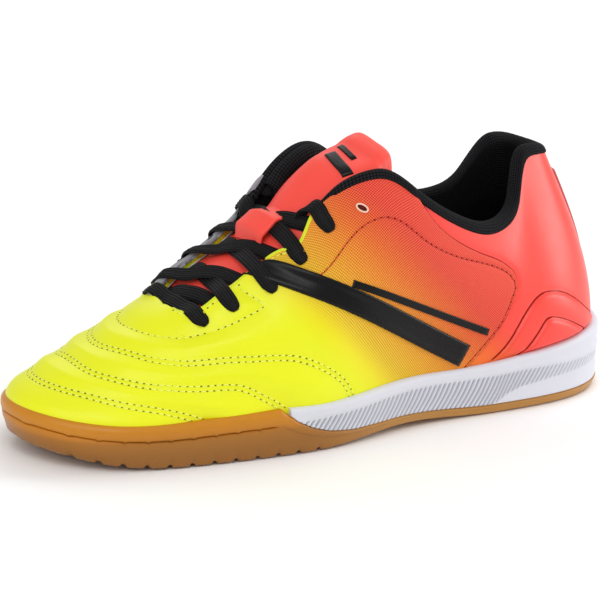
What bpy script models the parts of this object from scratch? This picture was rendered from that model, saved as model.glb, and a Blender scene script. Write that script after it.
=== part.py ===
"""Indoor soccer shoe, left foot, junior size: an upper on a two-piece cup sole.

Frame: +X from the toe to the heel, -Y the outer side of the foot, +Z up; the
origin is on the floor under the middle of the shoe.
"""
import math

import bmesh
import bpy
import numpy as np

for _old in list(bpy.data.objects):
    bpy.data.objects.remove(_old, do_unlink=True)

MM = 0.001
# ---------------------------------------------------------------- sizes (mm)
# u runs forward from the back of the heel, y is negative on the outer side
# of the foot, z is up from the floor.
SHIFT_Y = 3.3            # moves the middle of the ball to the middle of the box
HALF_LENGTH = 118.5

ARCH_LIFT = 2.2
ARCH_FROM, ARCH_TO = 60.0, 142.0
TOE_SPRING = 5.2
SPRING_FROM = 188.0
HEEL_ROLL = 1.2
HEEL_ROLL_TO = 12.0

CUP_WALL = 3.9           # outline of the sole to the foot of the upper
FLOOR_FORE, FLOOR_HEEL = 5.6, 10.2

# widest outline of the sole, heel to toe
OUTER_OUTLINE = (  # u, y
    (0.0, 0.0), (3.0, -16.0), (16.0, -28.6), (38.0, -33.8), (70.0, -33.0),
    (100.0, -34.0), (130.0, -38.3), (155.0, -37.4), (178.0, -34.2),
    (199.0, -30.0), (219.8, -22.2), (232.2, -9.0),
)
TOE_POINT = (237.0, 8.0)
INNER_OUTLINE = (  # u, y, toe to heel
    (234.0, 21.2), (223.8, 32.2), (205.0, 41.0), (178.0, 45.0), (150.0, 42.5),
    (120.0, 34.5), (95.0, 28.5), (70.0, 27.2), (38.0, 29.0), (16.0, 25.4), (3.0, 14.0),
)
# height of the sole's side above its own underside
SIDE_HEIGHT = (  # u, height
    (0.0, 24.6), (10.0, 23.8), (38.0, 21.4), (70.0, 18.6), (100.0, 17.0),
    (130.0, 16.8), (155.0, 17.2), (200.0, 15.6), (238.0, 14.2),
)
# the line that the half sections run up to: collar from the heel, peak at the
# top of the lacing, then over the throat to the middle of the vamp
TOP_OUTER = (  # v, u, y, z
    (0.00, 23.4, 0.0, 88.2), (0.05, 25.8, -7.4, 88.8), (0.10, 32.8, -11.2, 90.2),
    (0.125, 37.6, -12.4, 89.6), (0.15, 40.8, -14.4, 85.8), (0.175, 43.2, -16.9, 80.2), (0.20, 45.6, -19.4, 74.6),
    (0.225, 49.0, -21.6, 70.8), (0.25, 53.4, -23.6, 68.8), (0.30, 64.4, -26.6, 68.2), (0.35, 77.0, -28.2, 73.0),
    (0.40, 88.6, -28.6, 79.8),
    (0.44, 98.0, -27.4, 87.0), (0.475, 107.0, -24.6, 93.0), (0.505, 115.5, -21.8, 92.6),
    (0.53, 123.2, -19.2, 88.8), (0.56, 130.8, -16.6, 81.0), (0.59, 138.2, -13.9, 72.6),
    (0.62, 145.8, -11.0, 66.6), (0.65, 153.6, -7.6, 62.4), (0.68, 161.8, -3.8, 58.2),
    (0.70, 167.8, -1.0, 54.6), (0.72, 173.8, 1.6, 50.6), (0.74, 180.0, 3.5, 46.6),
)
TOP_INNER = (  # v, u, y, z
    (0.05, 25.8, 7.4, 88.8), (0.10, 32.8, 11.2, 90.2),
    (0.125, 37.6, 12.4, 89.6), (0.15, 40.8, 14.4, 85.8), (0.175, 43.2, 16.9, 80.2), (0.20, 45.6, 19.4, 74.6),
    (0.225, 49.0, 21.4, 70.8), (0.25, 53.4, 23.0, 68.8), (0.30, 64.4, 25.4, 68.4), (0.35, 77.0, 27.2, 73.2),
    (0.40, 88.6, 27.8, 79.8),
    (0.44, 98.0, 27.6, 86.6), (0.475, 106.6, 25.8, 91.6), (0.505, 115.0, 24.2, 91.0),
    (0.53, 122.8, 22.8, 86.8), (0.56, 130.6, 21.6, 79.4), (0.59, 138.2, 20.0, 71.8),
    (0.62, 145.8, 17.6, 66.2), (0.65, 153.6, 14.4, 62.2), (0.68, 161.8, 10.8, 58.2),
    (0.70, 167.8, 8.0, 54.6), (0.72, 173.8, 5.4, 50.6), (0.74, 180.0, 3.5, 46.6),
)
# edge of the throat's opening on each side
THROAT = (  # v, y_outer, y_inner
    (0.56, -16.6, 21.6), (0.59, -14.4, 20.6), (0.62, -12.9, 19.6), (0.65, -12.0, 18.8),
    (0.68, -11.4, 18.2), (0.70, -10.8, 17.4), (0.715, -9.6, 16.0), (0.728, -6.2, 12.6),
    (0.735, -2.2, 8.8), (0.74, 3.5, 3.5),
)
V_RIDGE = 0.74
RIDGE = (  # v, u, y, z
    (0.74, 180.0, 3.5, 46.6), (0.78, 188.8, 4.2, 43.9), (0.82, 196.8, 5.0, 41.0),
    (0.87, 204.6, 6.0, 37.5), (0.93, 210.4, 7.0, 34.9), (1.00, 214.0, 7.8, 33.2),
)
INNER_FULLER = 0.22      # the vamp is fuller on the inner side of the foot
# the two handles that bend each half section
SECTION = (  # v, wall_up, wall_out, top_out, top_down
    (0.00, 32.0, 5.2, 12.5, 25.0), (0.10, 30.0, 5.0, 9.0, 24.0), (0.20, 25.0, 4.6, 5.0, 20.0),
    (0.30, 20.0, 4.6, 2.6, 17.0), (0.40, 24.0, 4.2, 3.6, 22.0), (0.47, 30.0, 3.4, 6.0, 24.0),
    (0.53, 29.0, 3.2, 9.0, 19.0), (0.59, 25.0, 3.4, 11.0, 11.0), (0.63, 22.0, 3.4, 12.6, 6.6),
    (0.68, 19.6, 3.6, 15.0, 2.0), (0.74, 18.2, 3.8, 17.0, 0.0), (0.82, 17.5, 3.8, 16.5, 0.0),
    (0.90, 16.5, 4.0, 15.0, 0.0), (1.00, 15.5, 4.2, 13.5, 0.0),
)


def natural_spline(xs, ys):
    """Cubic spline through the rows, as a function of x."""
    xs = np.asarray(xs, float)
    ys = np.asarray(ys, float)
    flat = ys.ndim == 1
    if flat:
        ys = ys[:, None]
    n = len(xs)
    h = np.diff(xs)
    a = np.zeros((n, n))
    b = np.zeros((n, ys.shape[1]))
    a[0, 0] = a[-1, -1] = 1.0
    for i in range(1, n - 1):
        a[i, i - 1:i + 2] = h[i - 1], 2 * (h[i - 1] + h[i]), h[i]
        b[i] = 6 * ((ys[i + 1] - ys[i]) / h[i] - (ys[i] - ys[i - 1]) / h[i - 1])
    m = np.linalg.solve(a, b)

    def f(x):
        x = np.asarray(x, float)
        q = np.clip(x, xs[0], xs[-1]).ravel()
        k = np.clip(np.searchsorted(xs, q) - 1, 0, n - 2)
        l, r, hk = (xs[k + 1] - q)[:, None], (q - xs[k])[:, None], h[k][:, None]
        out = (m[k] * l ** 3 + m[k + 1] * r ** 3) / (6 * hk)
        out = out + (ys[k] / hk - m[k] * hk / 6) * l + (ys[k + 1] / hk - m[k + 1] * hk / 6) * r
        out = out.reshape(x.shape + (ys.shape[1],))
        return out[..., 0] if flat else out
    return f


def closed_spline(points, wrap=4):
    """Smooth closed curve through points; returns f(length) and the knots."""
    p = np.asarray(points, float)
    ext = np.vstack([p[-wrap:], p, p[:wrap + 1]])
    d = np.r_[0.0, np.cumsum(np.hypot(*np.diff(ext, axis=0).T))]
    d = d - d[wrap]
    f = natural_spline(d, ext)
    return f, d[wrap:wrap + len(p) + 1]


LOOP = list(OUTER_OUTLINE) + [TOE_POINT] + list(INNER_OUTLINE)
_loop, _knots = closed_spline(LOOP)
_dense = np.linspace(0.0, _knots[-1], 6001)
_pts = _loop(_dense)
_len = np.r_[0.0, np.cumsum(np.hypot(*np.diff(_pts, axis=0).T))]
_toe = np.interp(_knots[len(OUTER_OUTLINE)], _dense, _len)
_tan = np.gradient(_pts, _len, axis=0)
_tan[0] = _tan[-1] = (_tan[1] + _tan[-2]) / 2
_tan /= np.linalg.norm(_tan, axis=1)[:, None]


def loop_length(w):
    """w in -1..1 (outer toe .. heel .. inner toe) to the length round the loop."""
    w = np.asarray(w, float)
    return np.where(w <= 0, -w * _toe, _len[-1] - w * (_len[-1] - _toe))


def outline(w):
    s = loop_length(w)
    return np.stack([np.interp(s, _len, _pts[:, i]) for i in (0, 1)], -1)


def outward(w):
    s = loop_length(w)
    t = np.stack([np.interp(s, _len, _tan[:, i]) for i in (0, 1)], -1)
    n = np.stack([t[..., 1], -t[..., 0]], -1)
    return n / np.linalg.norm(n, axis=-1, keepdims=True)


def smooth(x):
    x = np.clip(x, 0.0, 1.0)
    return x * x * (3 - 2 * x)


def ground(u):
    """Underside of the sole: flat at the heel and the ball, lifted between and at the toe."""
    u = np.asarray(u, float)
    x = np.clip((u - ARCH_FROM) / (ARCH_TO - ARCH_FROM), 0, 1)
    arch = ARCH_LIFT * np.sin(np.pi * x) ** 2
    toe = TOE_SPRING * np.clip((u - SPRING_FROM) / (238.0 - SPRING_FROM), 0, 1) ** 1.9
    heel = HEEL_ROLL * np.clip((HEEL_ROLL_TO - u) / HEEL_ROLL_TO, 0, 1) ** 2
    return arch + toe + heel


def floor_rise(u):
    return FLOOR_HEEL + (FLOOR_FORE - FLOOR_HEEL) * smooth((np.asarray(u, float) - 95.0) / 60.0)


_side = natural_spline([r[0] for r in SIDE_HEIGHT], [r[1] for r in SIDE_HEIGHT])


def side_height(u):
    return _side(u)


_top_rows = [(-r[0],) + r[1:] for r in TOP_OUTER[::-1]] + list(TOP_INNER)
_top = natural_spline([r[0] for r in _top_rows], [r[1:] for r in _top_rows])
_ridge = natural_spline([r[0] for r in RIDGE], [r[1:] for r in RIDGE])
_sec = natural_spline([r[0] for r in SECTION], [r[1:] for r in SECTION])


def top_line(w):
    w = np.asarray(w, float)
    v = np.abs(w)
    return np.where((v < V_RIDGE)[..., None], _top(np.clip(w, -V_RIDGE, V_RIDGE)), _ridge(np.clip(v, V_RIDGE, 1)))


def feather(w):
    p = outline(w) - CUP_WALL * outward(w)
    z = ground(p[..., 0]) + floor_rise(p[..., 0])
    return np.concatenate([p, z[..., None]], -1)


def last_surface(w, t):
    """The closed form: w round the foot, t from the sole (0) to the top line (1)."""
    w, t = np.broadcast_arrays(np.asarray(w, float), np.asarray(t, float))
    v = np.abs(w)
    f, e, n = feather(w), top_line(w), outward(w)
    h = _sec(v)
    full = np.where(w > 0, smooth((v - 0.60) / 0.10) * smooth((0.88 - v) / 0.12), 0.0)
    h = h * (1.0 + full[..., None] * np.array([INNER_FULLER, 0.0, INNER_FULLER, 0.0]))
    up = np.array([0.0, 0.0, 1.0])
    n3 = np.concatenate([n, np.zeros_like(n[..., :1])], -1)
    p1 = f + h[..., 0:1] * up + h[..., 1:2] * n3
    dv = 1e-3
    r1, r0 = _ridge(np.clip(v + dv, V_RIDGE, 1)), _ridge(np.clip(v - dv, V_RIDGE, 1))
    slope = (r1[..., 2] - r0[..., 2]) / np.maximum(r1[..., 0] - r0[..., 0], 1e-6)
    at_edge = V_RIDGE + dv
    slope = np.where(v < at_edge, (_ridge(at_edge)[2] - _ridge(V_RIDGE)[2]) / (_ridge(at_edge)[0] - _ridge(V_RIDGE)[0]), slope)
    fall = smooth((v - V_RIDGE + 0.12) / 0.12) * slope * h[..., 2] * n[..., 0]
    p2 = e + h[..., 2:3] * n3 - h[..., 3:4] * up + fall[..., None] * up
    t = t[..., None]
    return (1 - t) ** 3 * f + 3 * (1 - t) ** 2 * t * p1 + 3 * (1 - t) * t ** 2 * p2 + t ** 3 * e


def _trim_rows():
    """t on the closed form where each throat edge lies, for a row of stations."""
    vs = np.linspace(THROAT[0][0], V_RIDGE, 121)
    ts = np.linspace(0.45, 1.0, 400)
    out = []
    for side, col in ((-1.0, 1), (1.0, 2)):
        want = natural_spline([r[0] for r in THROAT], [r[col] for r in THROAT])(vs)
        ys = last_surface(side * vs[:, None], ts[None, :])[..., 1]
        k = [np.interp(-side * y, -side * row, ts) for y, row in zip(want, ys)]
        out.append(np.array(k))
    return vs, out[0], out[1]


_trim_v, _trim_o, _trim_i = _trim_rows()


def trim(w):
    w = np.asarray(w, float)
    v = np.abs(w)
    k = np.where(w < 0, np.interp(v, _trim_v, _trim_o), np.interp(v, _trim_v, _trim_i))
    return np.where((v < _trim_v[0]) | (v >= V_RIDGE), 1.0, k)


def upper_surface(w, t):
    """Outside of the upper: t from the sole (0) to the edge of the opening or the ridge (1)."""
    w, t = np.broadcast_arrays(np.asarray(w, float), np.asarray(t, float))
    return last_surface(w, t * trim(w))


def top_edge(w):
    return upper_surface(w, 1.0)


# ------------------------------------------------------------- more sizes (mm)
GAP = 0.35               # between pieces that are glued or rest on each other
CUP_GAP = 0.6           # between the cup's wall and the upper
WALL = 2.0               # upper: cloth, lining and foam
COLLAR_PAD = 5.2         # padded collar
INSOLE_THICK = 3.2
LASTING = 10.0           # margin of the upper turned in under the insole
FLANGE = 1.6
TONGUE_THICK = 3.6
TONGUE_GAP = 0.7
LACE_WIDTH, LACE_THICK = 5.4, 1.3
GROOVE_PITCH, GROOVE_WIDE, GROOVE_DEEP = 8.0, 2.4, 1.2
STRIP_THICK = 1.1
PLATE_FRONT = 130.0      # front end of the midsole's plate

# the rubber's height at the side: full cup at the ball and toe, thin to the heel
RUBBER_HEIGHT = (  # u, height
    (0.0, 3.6), (60.0, 3.6), (95.0, 3.6), (112.0, 4.0), (125.0, 5.0), (136.0, 7.0),
    (143.0, 9.2), (149.0, 12.2), (155.0, 17.0),
)


def rubber_height(u):
    h = np.interp(u, [r[0] for r in RUBBER_HEIGHT], [r[1] for r in RUBBER_HEIGHT])
    return np.where(np.asarray(u) >= 155.0, side_height(u), np.minimum(h, side_height(u)))


def wrap(w):
    return (np.asarray(w, float) + 1.0) % 2.0 - 1.0


def surface(w, t):
    return upper_surface(wrap(w), t)


def surface_normal(w, t):
    """Unit normal of the upper's outside, pointing out."""
    w, t = np.broadcast_arrays(np.asarray(w, float), np.asarray(t, float))
    e = 2e-3
    tw = np.minimum(t, 0.86)
    a = surface(w + e, tw) - surface(w - e, tw)
    hi, lo = np.clip(t + 0.01, 0, 1), np.clip(t - 0.01, 0, 1)
    b = surface(w, hi) - surface(w, lo)
    n = np.cross(b, a)
    n3 = np.concatenate([outward(wrap(w)), np.full(w.shape + (1,), 0.5)], -1)
    n *= np.sign((n * n3).sum(-1, keepdims=True))
    n /= np.linalg.norm(n, axis=-1, keepdims=True)
    both = (t > 0.999) & (np.abs(wrap(w)) > V_RIDGE - 0.03)
    m = n.copy()
    if both.any():
        other = -w
        a2 = surface(other + e, tw) - surface(other - e, tw)
        b2 = surface(other, hi) - surface(other, lo)
        k = np.cross(b2, a2)
        k3 = np.concatenate([outward(wrap(other)), np.full(w.shape + (1,), 0.5)], -1)
        k *= np.sign((k * k3).sum(-1, keepdims=True))
        k /= np.linalg.norm(k, axis=-1, keepdims=True)
        s = n + k
        s /= np.linalg.norm(s, axis=-1, keepdims=True)
        m[both] = s[both]
    return m


def t_at_height(w, z, rows=160):
    """t where the half section at w reaches height z."""
    w = np.atleast_1d(w)
    ts = np.linspace(0, 0.9, rows)
    zz = upper_surface(w[:, None], ts[None, :])[..., 2]
    return np.array([np.interp(zk, zr, ts) for zk, zr in zip(np.broadcast_to(z, w.shape), zz)])


def stations(extra=()):
    v = np.concatenate([
        np.linspace(0.0, 0.46, 19), np.linspace(0.485, 0.70, 12),
        [0.71, 0.72, 0.729, 0.7345, 0.74], np.linspace(0.765, 1.0, 12), np.asarray(extra, float)])
    return np.unique(np.round(v, 5))


class Mesh:
    """Vertices in shoe millimetres; equal points are shared."""

    def __init__(self):
        self.v, self.f, self.key = [], [], {}

    def add(self, p):
        k = tuple(int(round(c * 2000)) for c in p)
        if k not in self.key:
            self.key[k] = len(self.v)
            self.v.append((float(p[0]), float(p[1]), float(p[2])))
        return self.key[k]

    def grid(self, pts):
        return np.array([[self.add(p) for p in row] for row in pts])

    def face(self, *ids):
        out = []
        for i in ids:
            if i not in out:
                out.append(int(i))
        if len(out) >= 3:
            self.f.append(out)

    def quads(self, a, b):
        """Strip between two equal rows of ids."""
        for i in range(len(a) - 1):
            self.face(a[i], a[i + 1], b[i + 1], b[i])

    def lattice(self, g):
        for i in range(len(g) - 1):
            self.quads(g[i], g[i + 1])


def make_object(name, mesh, colour, roughness, specular=0.5):
    bm = bmesh.new()
    vs = [bm.verts.new(((HALF_LENGTH - x) * MM, (y - SHIFT_Y) * MM, z * MM)) for x, y, z in mesh.v]
    bm.verts.ensure_lookup_table()
    for f in mesh.f:
        try:
            bm.faces.new([vs[i] for i in f])
        except ValueError:
            pass
    bmesh.ops.recalc_face_normals(bm, faces=bm.faces)
    bmesh.ops.triangulate(bm, faces=[f for f in bm.faces if len(f.verts) > 4])
    if bm.calc_volume(signed=True) < 0:
        bmesh.ops.reverse_faces(bm, faces=bm.faces)
    me = bpy.data.meshes.new(name)
    bm.to_mesh(me)
    bm.free()
    me.shade_smooth()
    me.set_sharp_from_angle(angle=math.radians(40))
    ob = bpy.data.objects.new(name, me)
    bpy.context.scene.collection.objects.link(ob)
    mat = bpy.data.materials.new(name)
    mat.use_nodes = True
    b = mat.node_tree.nodes["Principled BSDF"]
    b.inputs["Base Color"].default_value = (*colour, 1.0)
    b.inputs["Roughness"].default_value = roughness
    b.inputs["Metallic"].default_value = 0.0
    b.inputs["Specular IOR Level"].default_value = specular
    me.materials.append(mat)
    return ob


def floor_z(u):
    return ground(u) + floor_rise(u)


# --------------------------------------------------------------------- upper
def wall_thickness(w, t):
    v = np.abs(w)
    collar = smooth((0.50 - v) / 0.06) * smooth((t - 0.45) / 0.3)
    return WALL + (COLLAR_PAD - WALL) * collar


def inner_surface(w, t):
    return surface(w, t) - wall_thickness(w, t)[..., None] * surface_normal(w, t)


def build_upper():
    v = stations()
    w = np.concatenate([-v[::-1], v[1:]])
    m = Mesh()
    t_out = np.array([0.0, 0.12, 0.25, 0.38, 0.5, 0.62, 0.73, 0.83, 0.92, 1.0])
    wo, to = np.meshgrid(w, t_out, indexing="ij")
    outer = surface(wo, to)
    g_out = m.grid(outer)
    t0 = t_at_height(w, floor_z(feather(w)[..., 0]) + FLANGE + 0.2)
    frac = np.array([0.0, 0.15, 0.3, 0.45, 0.6, 0.74, 0.87, 1.0])
    ti = t0[:, None] + (1 - t0[:, None]) * frac[None, :]
    wi = np.broadcast_to(w[:, None], ti.shape)
    inner = inner_surface(wi, ti)
    f, n = feather(w), outward(w)
    inner[:, 0, 2] = floor_z(inner[:, 0, 0]) + FLANGE
    inner[:, 1, 2] = np.maximum(inner[:, 1, 2], inner[:, 0, 2] + 1.0)
    g_in = m.grid(inner)
    tip = f.copy()
    tip[:, :2] -= LASTING * n
    tip[:, 2] = floor_z(tip[:, 0])
    g_tip = m.grid([[p] for p in tip])[:, 0]
    top = tip + np.array([0, 0, FLANGE])
    g_top = m.grid([[p] for p in top])[:, 0]
    m.lattice(g_out)
    m.lattice(g_in)
    m.quads(g_out[:, 0], g_tip)
    m.quads(g_tip, g_top)
    m.quads(g_top, g_in[:, 0])
    # rim along collar and throat
    open_rim = np.abs(w) <= V_RIDGE + 1e-9
    k = np.where(open_rim)[0]
    nn = surface_normal(w[k], np.full(len(k), 1.0))
    th = wall_thickness(w[k], np.full(len(k), 1.0))
    e = top_edge(w[k])
    crest = e - 0.5 * th[:, None] * nn + np.array([0, 0, 1.0]) * (0.22 * (th - WALL))[:, None]
    crest[[0, -1]] = e[[0, -1]] - 0.5 * th[[0, -1], None] * nn[[0, -1]]
    g_c = m.grid([[p] for p in crest])[:, 0]
    m.quads(g_out[k, -1], g_c)
    m.quads(g_c, g_in[k, -1])
    return make_object("upper", m, (0.86, 0.42, 0.12), 0.45)


# ---------------------------------------------------------------------- sole
def cup_inner(w, z, gap):
    """Point on the upper's outside at height z, moved out by gap."""
    t = t_at_height(w, z)
    p = upper_surface(w, t)
    p[:, :2] += gap * outward(w)
    p[:, 2] = z
    return p


def side_point(w, inset, z):
    p = outline(w) - np.broadcast_to(inset, w.shape)[:, None] * outward(w)
    return np.concatenate([p, np.asarray(z)[:, None]], -1)


def rubber_floor(u):
    """Top of the rubber inside the cup: under the upper in front, thin under the midsole."""
    x = smooth((u - (PLATE_FRONT + 0.6)) / 3.0)
    return ground(u) + 3.6 + (floor_rise(u) - GAP - 3.6) * x


def groove(u):
    """Depth of the cross grooves of the tread at u."""
    fore = (u > 138.0) & (u < 232.0)
    heel = (u > 12.0) & (u < 62.0)
    x = np.abs((u / GROOVE_PITCH) % 1.0 - 0.5) * GROOVE_PITCH
    return np.where((fore | heel) & (x < GROOVE_WIDE / 2 + 1e-6), GROOVE_DEEP, 0.0)


def v_for_u(u, side):
    vs = np.linspace(0.04, 0.985, 1500)
    us = outline(side * vs)[:, 0]
    return np.interp(u, us, vs)


def tread_stations():
    """Stations that carry the edges of each cross groove."""
    cuts = []
    for k in range(1, 40):
        c = (k + 0.5) * GROOVE_PITCH
        if (12.0 + 2 < c < 60.0) or (140.0 < c < 230.0):
            cuts += [(c - GROOVE_WIDE / 2, 0), (c - GROOVE_WIDE / 2 + 0.35, 1),
                     (c + GROOVE_WIDE / 2 - 0.35, 1), (c + GROOVE_WIDE / 2, 0)]
    plain = [u for u in (2.0, 5.5, 64.0, 70.0, 77.0, 84.0, 91.0, 98.0, 105.0, 112.0, 118.5, 125.0,
                         PLATE_FRONT + 0.5, PLATE_FRONT + 3.8, 137.0, 234.5, 237.0)]
    rows = sorted(cuts + [(u, 0) for u in plain])
    us = np.array([r[0] for r in rows])
    v_o, v_i, deep = v_for_u(us, -1.0), v_for_u(us, 1.0), np.array([float(r[1]) for r in rows])
    ends = np.array([0.012, 0.024, 0.036, 0.05, 0.064, 0.945, 0.957, 0.969, 0.98, 0.99])
    keep = (v_o > 0.07) & (v_o < 0.94) & (v_i > 0.07) & (v_i < 0.94)
    v_o = np.concatenate([ends[:5], v_o[keep], ends[5:]])
    v_i = np.concatenate([ends[:5], v_i[keep], ends[5:]])
    deep = np.concatenate([np.zeros(5), deep[keep], np.zeros(5)]) * GROOVE_DEEP
    return v_o, v_i, deep


def build_outsole():
    v_o, v_i, deep = tread_stations()
    us = (outline(-v_o)[:, 0] + outline(v_i)[:, 0]) / 2
    w = np.concatenate([[-1.0], -v_o[::-1], [0.0], v_i])
    cut = np.concatenate([[0.0], deep[::-1], [0.0], deep])
    u = outline(w)[:, 0]
    g, h = ground(u), rubber_height(u)
    full = smooth((h - 5.0) / 9.0)
    m = Mesh()
    cols = [
        side_point(w, np.full(len(w), 3.0), g + cut),
        side_point(w, np.full(len(w), 1.2), g + 0.9 + cut * 0.8),
        side_point(w, 0.3 - 0.1 * full, g + 0.22 * h + 0.6),
        side_point(w, 0.1 * np.ones(len(w)), g + 0.62 * h),
        side_point(w, 0.3 + 0.6 * full, g + h - 0.5),
        side_point(w, 0.8 + 0.7 * full, g + h),
    ]
    low_u = (outline(w) - (CUP_WALL - CUP_GAP) * outward(w))[:, 0]
    fl = rubber_floor(low_u)
    z_top = g + h
    tops = cup_inner(w, np.maximum(z_top, feather(w)[:, 2] + 0.1), CUP_GAP)
    low = side_point(w, np.full(len(w), CUP_WALL - CUP_GAP), z_top)
    tops[:, 2] = z_top
    mix = full[:, None]
    in_top = tops * mix + side_point(w, np.full(len(w), 2.4), z_top) * (1 - mix)
    z_mid = np.minimum(z_top, fl + 0.45 * np.maximum(z_top - fl, 0))
    mids = cup_inner(w, np.maximum(z_mid, feather(w)[:, 2] + 0.05), CUP_GAP)
    mids[:, 2] = z_mid
    in_mid = mids * mix + side_point(w, np.full(len(w), 3.0), z_top) * (1 - mix)
    in_mid[:, 2] = z_mid * full + z_top * (1 - full)
    in_low = low.copy()
    in_low[:, 2] = np.minimum(fl, z_top)
    g_all = m.grid(np.stack(cols + [in_top, in_mid, in_low], 1))
    ring = np.vstack([g_all, g_all[:1]])
    m.lattice(ring)
    n = len(v_o)
    o_ids, i_ids = g_all[1:n + 1][::-1], g_all[n + 2:]
    toe, heel = g_all[0], g_all[n + 1]
    mid_b = [m.add((us[k], SHIFT_Y, ground(us[k]) + deep[k])) for k in range(n)]
    mid_t = [m.add((us[k], SHIFT_Y, rubber_floor(us[k]))) for k in range(n)]
    for col, mid in ((0, mid_b), (-1, mid_t)):
        for a, b in ((o_ids[:, col], mid), (mid, i_ids[:, col])):
            m.quads(a, b)
        m.face(heel[col], o_ids[0, col], mid[0])
        m.face(heel[col], mid[0], i_ids[0, col])
        m.face(toe[col], mid[-1], o_ids[-1, col])
        m.face(toe[col], i_ids[-1, col], mid[-1])
    return make_object("outsole", m, (0.42, 0.20, 0.05), 0.42)


def build_midsole():
    us = np.array([12.0, 16.0, 21.0, 27.0, 35.0, 44.0, 54.0, 64.0, 74.0, 84.0, 94.0, 103.0,
                   112.0, 120.0, 125.5, PLATE_FRONT, 135.0, 139.5, 144.0, 148.5, 152.5])
    back = np.array([0.011, 0.022, 0.034, 0.046, 0.059, 0.073, 0.088])
    v_o = np.concatenate([back, v_for_u(us, -1.0)])
    v_i = np.concatenate([back, v_for_u(us, 1.0)])
    plate = np.concatenate([np.ones(len(back), bool), us <= PLATE_FRONT + 1e-6])
    m = Mesh()

    def profile(w):
        u = outline(w)[:, 0]
        g, h = ground(u), side_height(u)
        lo = g + rubber_height(u) + GAP + 0.45 * smooth((u - 126.0) / 10.0)
        hi = np.maximum(g + h, lo + 0.5)
        span = hi - lo
        # the foot of the wall: on the rubber in front, on the plate behind
        foot = np.maximum(floor_z(feather(w)[:, 0]) - GAP, lo + 0.25 * np.minimum(span, 1.0))
        cols = [
            side_point(w, np.full(len(w), 0.7), lo),
            side_point(w, np.full(len(w), 0.15), lo + 0.2 * span),
            side_point(w, np.full(len(w), 0.15), lo + 0.65 * span),
            side_point(w, np.full(len(w), 0.8), hi - 0.1 * span),
            side_point(w, np.full(len(w), 1.5), hi),
            cup_inner(w, hi, CUP_GAP),
            cup_inner(w, foot + 0.5 * np.maximum(hi - foot, 0.1), CUP_GAP),
        ]
        p_foot = cup_inner(w, np.maximum(foot, feather(w)[:, 2] + 0.02), CUP_GAP)
        p_foot[:, 2] = foot
        p_low = p_foot.copy()
        p_low[:, 2] = lo
        return np.stack(cols + [p_foot, p_low], 1)

    g_heel = m.grid(profile(np.array([0.0])))
    g_o = np.vstack([g_heel, m.grid(profile(-v_o))])
    g_i = np.vstack([g_heel, m.grid(profile(v_i))])
    last = int(np.sum(plate))          # row index of the plate's front in g_o / g_i
    FOOT, LOW = -2, -1
    for g_ in (g_o, g_i):
        for k in range(len(g_) - 1):
            a, b = g_[k], g_[k + 1]
            for c in range(len(a) - 2):
                m.face(a[c], a[c + 1], b[c + 1], b[c])
            if k >= last:
                m.face(a[FOOT], a[LOW], b[LOW], b[FOOT])
            m.face(a[LOW], a[0], b[0], b[LOW])
        m.f.append([int(i) for i in g_[-1]])
    for k in range(last):
        m.face(g_o[k][FOOT], g_o[k + 1][FOOT], g_i[k + 1][FOOT], g_i[k][FOOT])
        m.face(g_o[k][LOW], g_o[k + 1][LOW], g_i[k + 1][LOW], g_i[k][LOW])
    m.face(g_o[last][FOOT], g_o[last][LOW], g_i[last][LOW], g_i[last][FOOT])
    return make_object("midsole", m, (0.75, 0.75, 0.80), 0.55)


# -------------------------------------------------------------------- insole
def build_insole():
    v = np.unique(np.concatenate([np.linspace(0, 1, 31), [0.02, 0.05, 0.95, 0.98]]))
    w = np.concatenate([-v[::-1], v[1:-1]])
    f, n = feather(w), outward(w)
    m = Mesh()
    cols = []
    for inset, dz in ((WALL + 1.8, 0.0), (WALL + 1.1, 1.0), (WALL + 0.9, INSOLE_THICK - 0.6), (WALL + 1.5, INSOLE_THICK)):
        p = f.copy()
        p[:, :2] -= inset * n
        p[:, 2] = floor_z(p[:, 0]) + FLANGE + GAP + dz
        cols.append(p)
    g_all = m.grid(np.stack(cols, 1))
    m.lattice(np.vstack([g_all, g_all[:1]]))
    k = len(v)
    o_ids, i_ids = g_all[:k][::-1], np.vstack([g_all[k - 1:], g_all[:1]])
    for col in (0, -1):
        m.quads(o_ids[:, col], i_ids[:, col])
    return make_object("insole", m, (0.02, 0.02, 0.02), 0.85)


# -------------------------------------------------------------------- tongue
TONGUE_ROWS = (  # v, under (t reached beneath the upper), crown, extra gap
    (0.490, 0.86, 5.4, 0.0), (0.52, 0.85, 5.0, 0.0), (0.55, 0.84, 4.6, 0.0), (0.585, 0.83, 4.2, 0.0),
    (0.62, 0.82, 3.8, 0.0), (0.655, 0.80, 3.2, 0.0), (0.685, 0.79, 2.4, 0.1), (0.705, 0.78, 1.4, 0.4),
    (0.7345, 0.77, 0.0, 1.3), (0.770, 0.80, 0.0, 1.5), (0.805, 0.84, 0.0, 1.2),
)
TONGUE_TOP = (  # forward, up, width: rows past the top of the lacing
    (-10.5, 4.4, 0.84), (-7.6, 4.0, 0.89), (-4.0, 2.2, 0.945),
)


def tongue_row(v, under, crown, extra):
    """Points across the tongue's top face at one station of the throat."""
    ridge = v > V_RIDGE
    ts = (under, (under + 1) / 2, 0.94, 0.97, 0.99) if ridge else (under, (under + 1) / 2, 1.0)
    gap = TONGUE_GAP + extra
    pts = []
    for side in (-1.0, 1.0):
        w = np.full(len(ts), side * v)
        t = np.array(ts if side < 0 else ts[::-1])
        pts.append(inner_surface(w, t) - gap * surface_normal(w, t))
    if ridge:
        return np.vstack(pts)
    a, b = pts[0][-1], pts[1][0]
    mid = []
    for x in (0.2, 0.4, 0.6, 0.8):
        lift = crown * math.sin(math.pi * x) ** 0.8
        mid.append(a + (b - a) * x + np.array([0.25, 0.0, 1.0]) * lift)
    return np.vstack([pts[0], mid, pts[1]])


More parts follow.
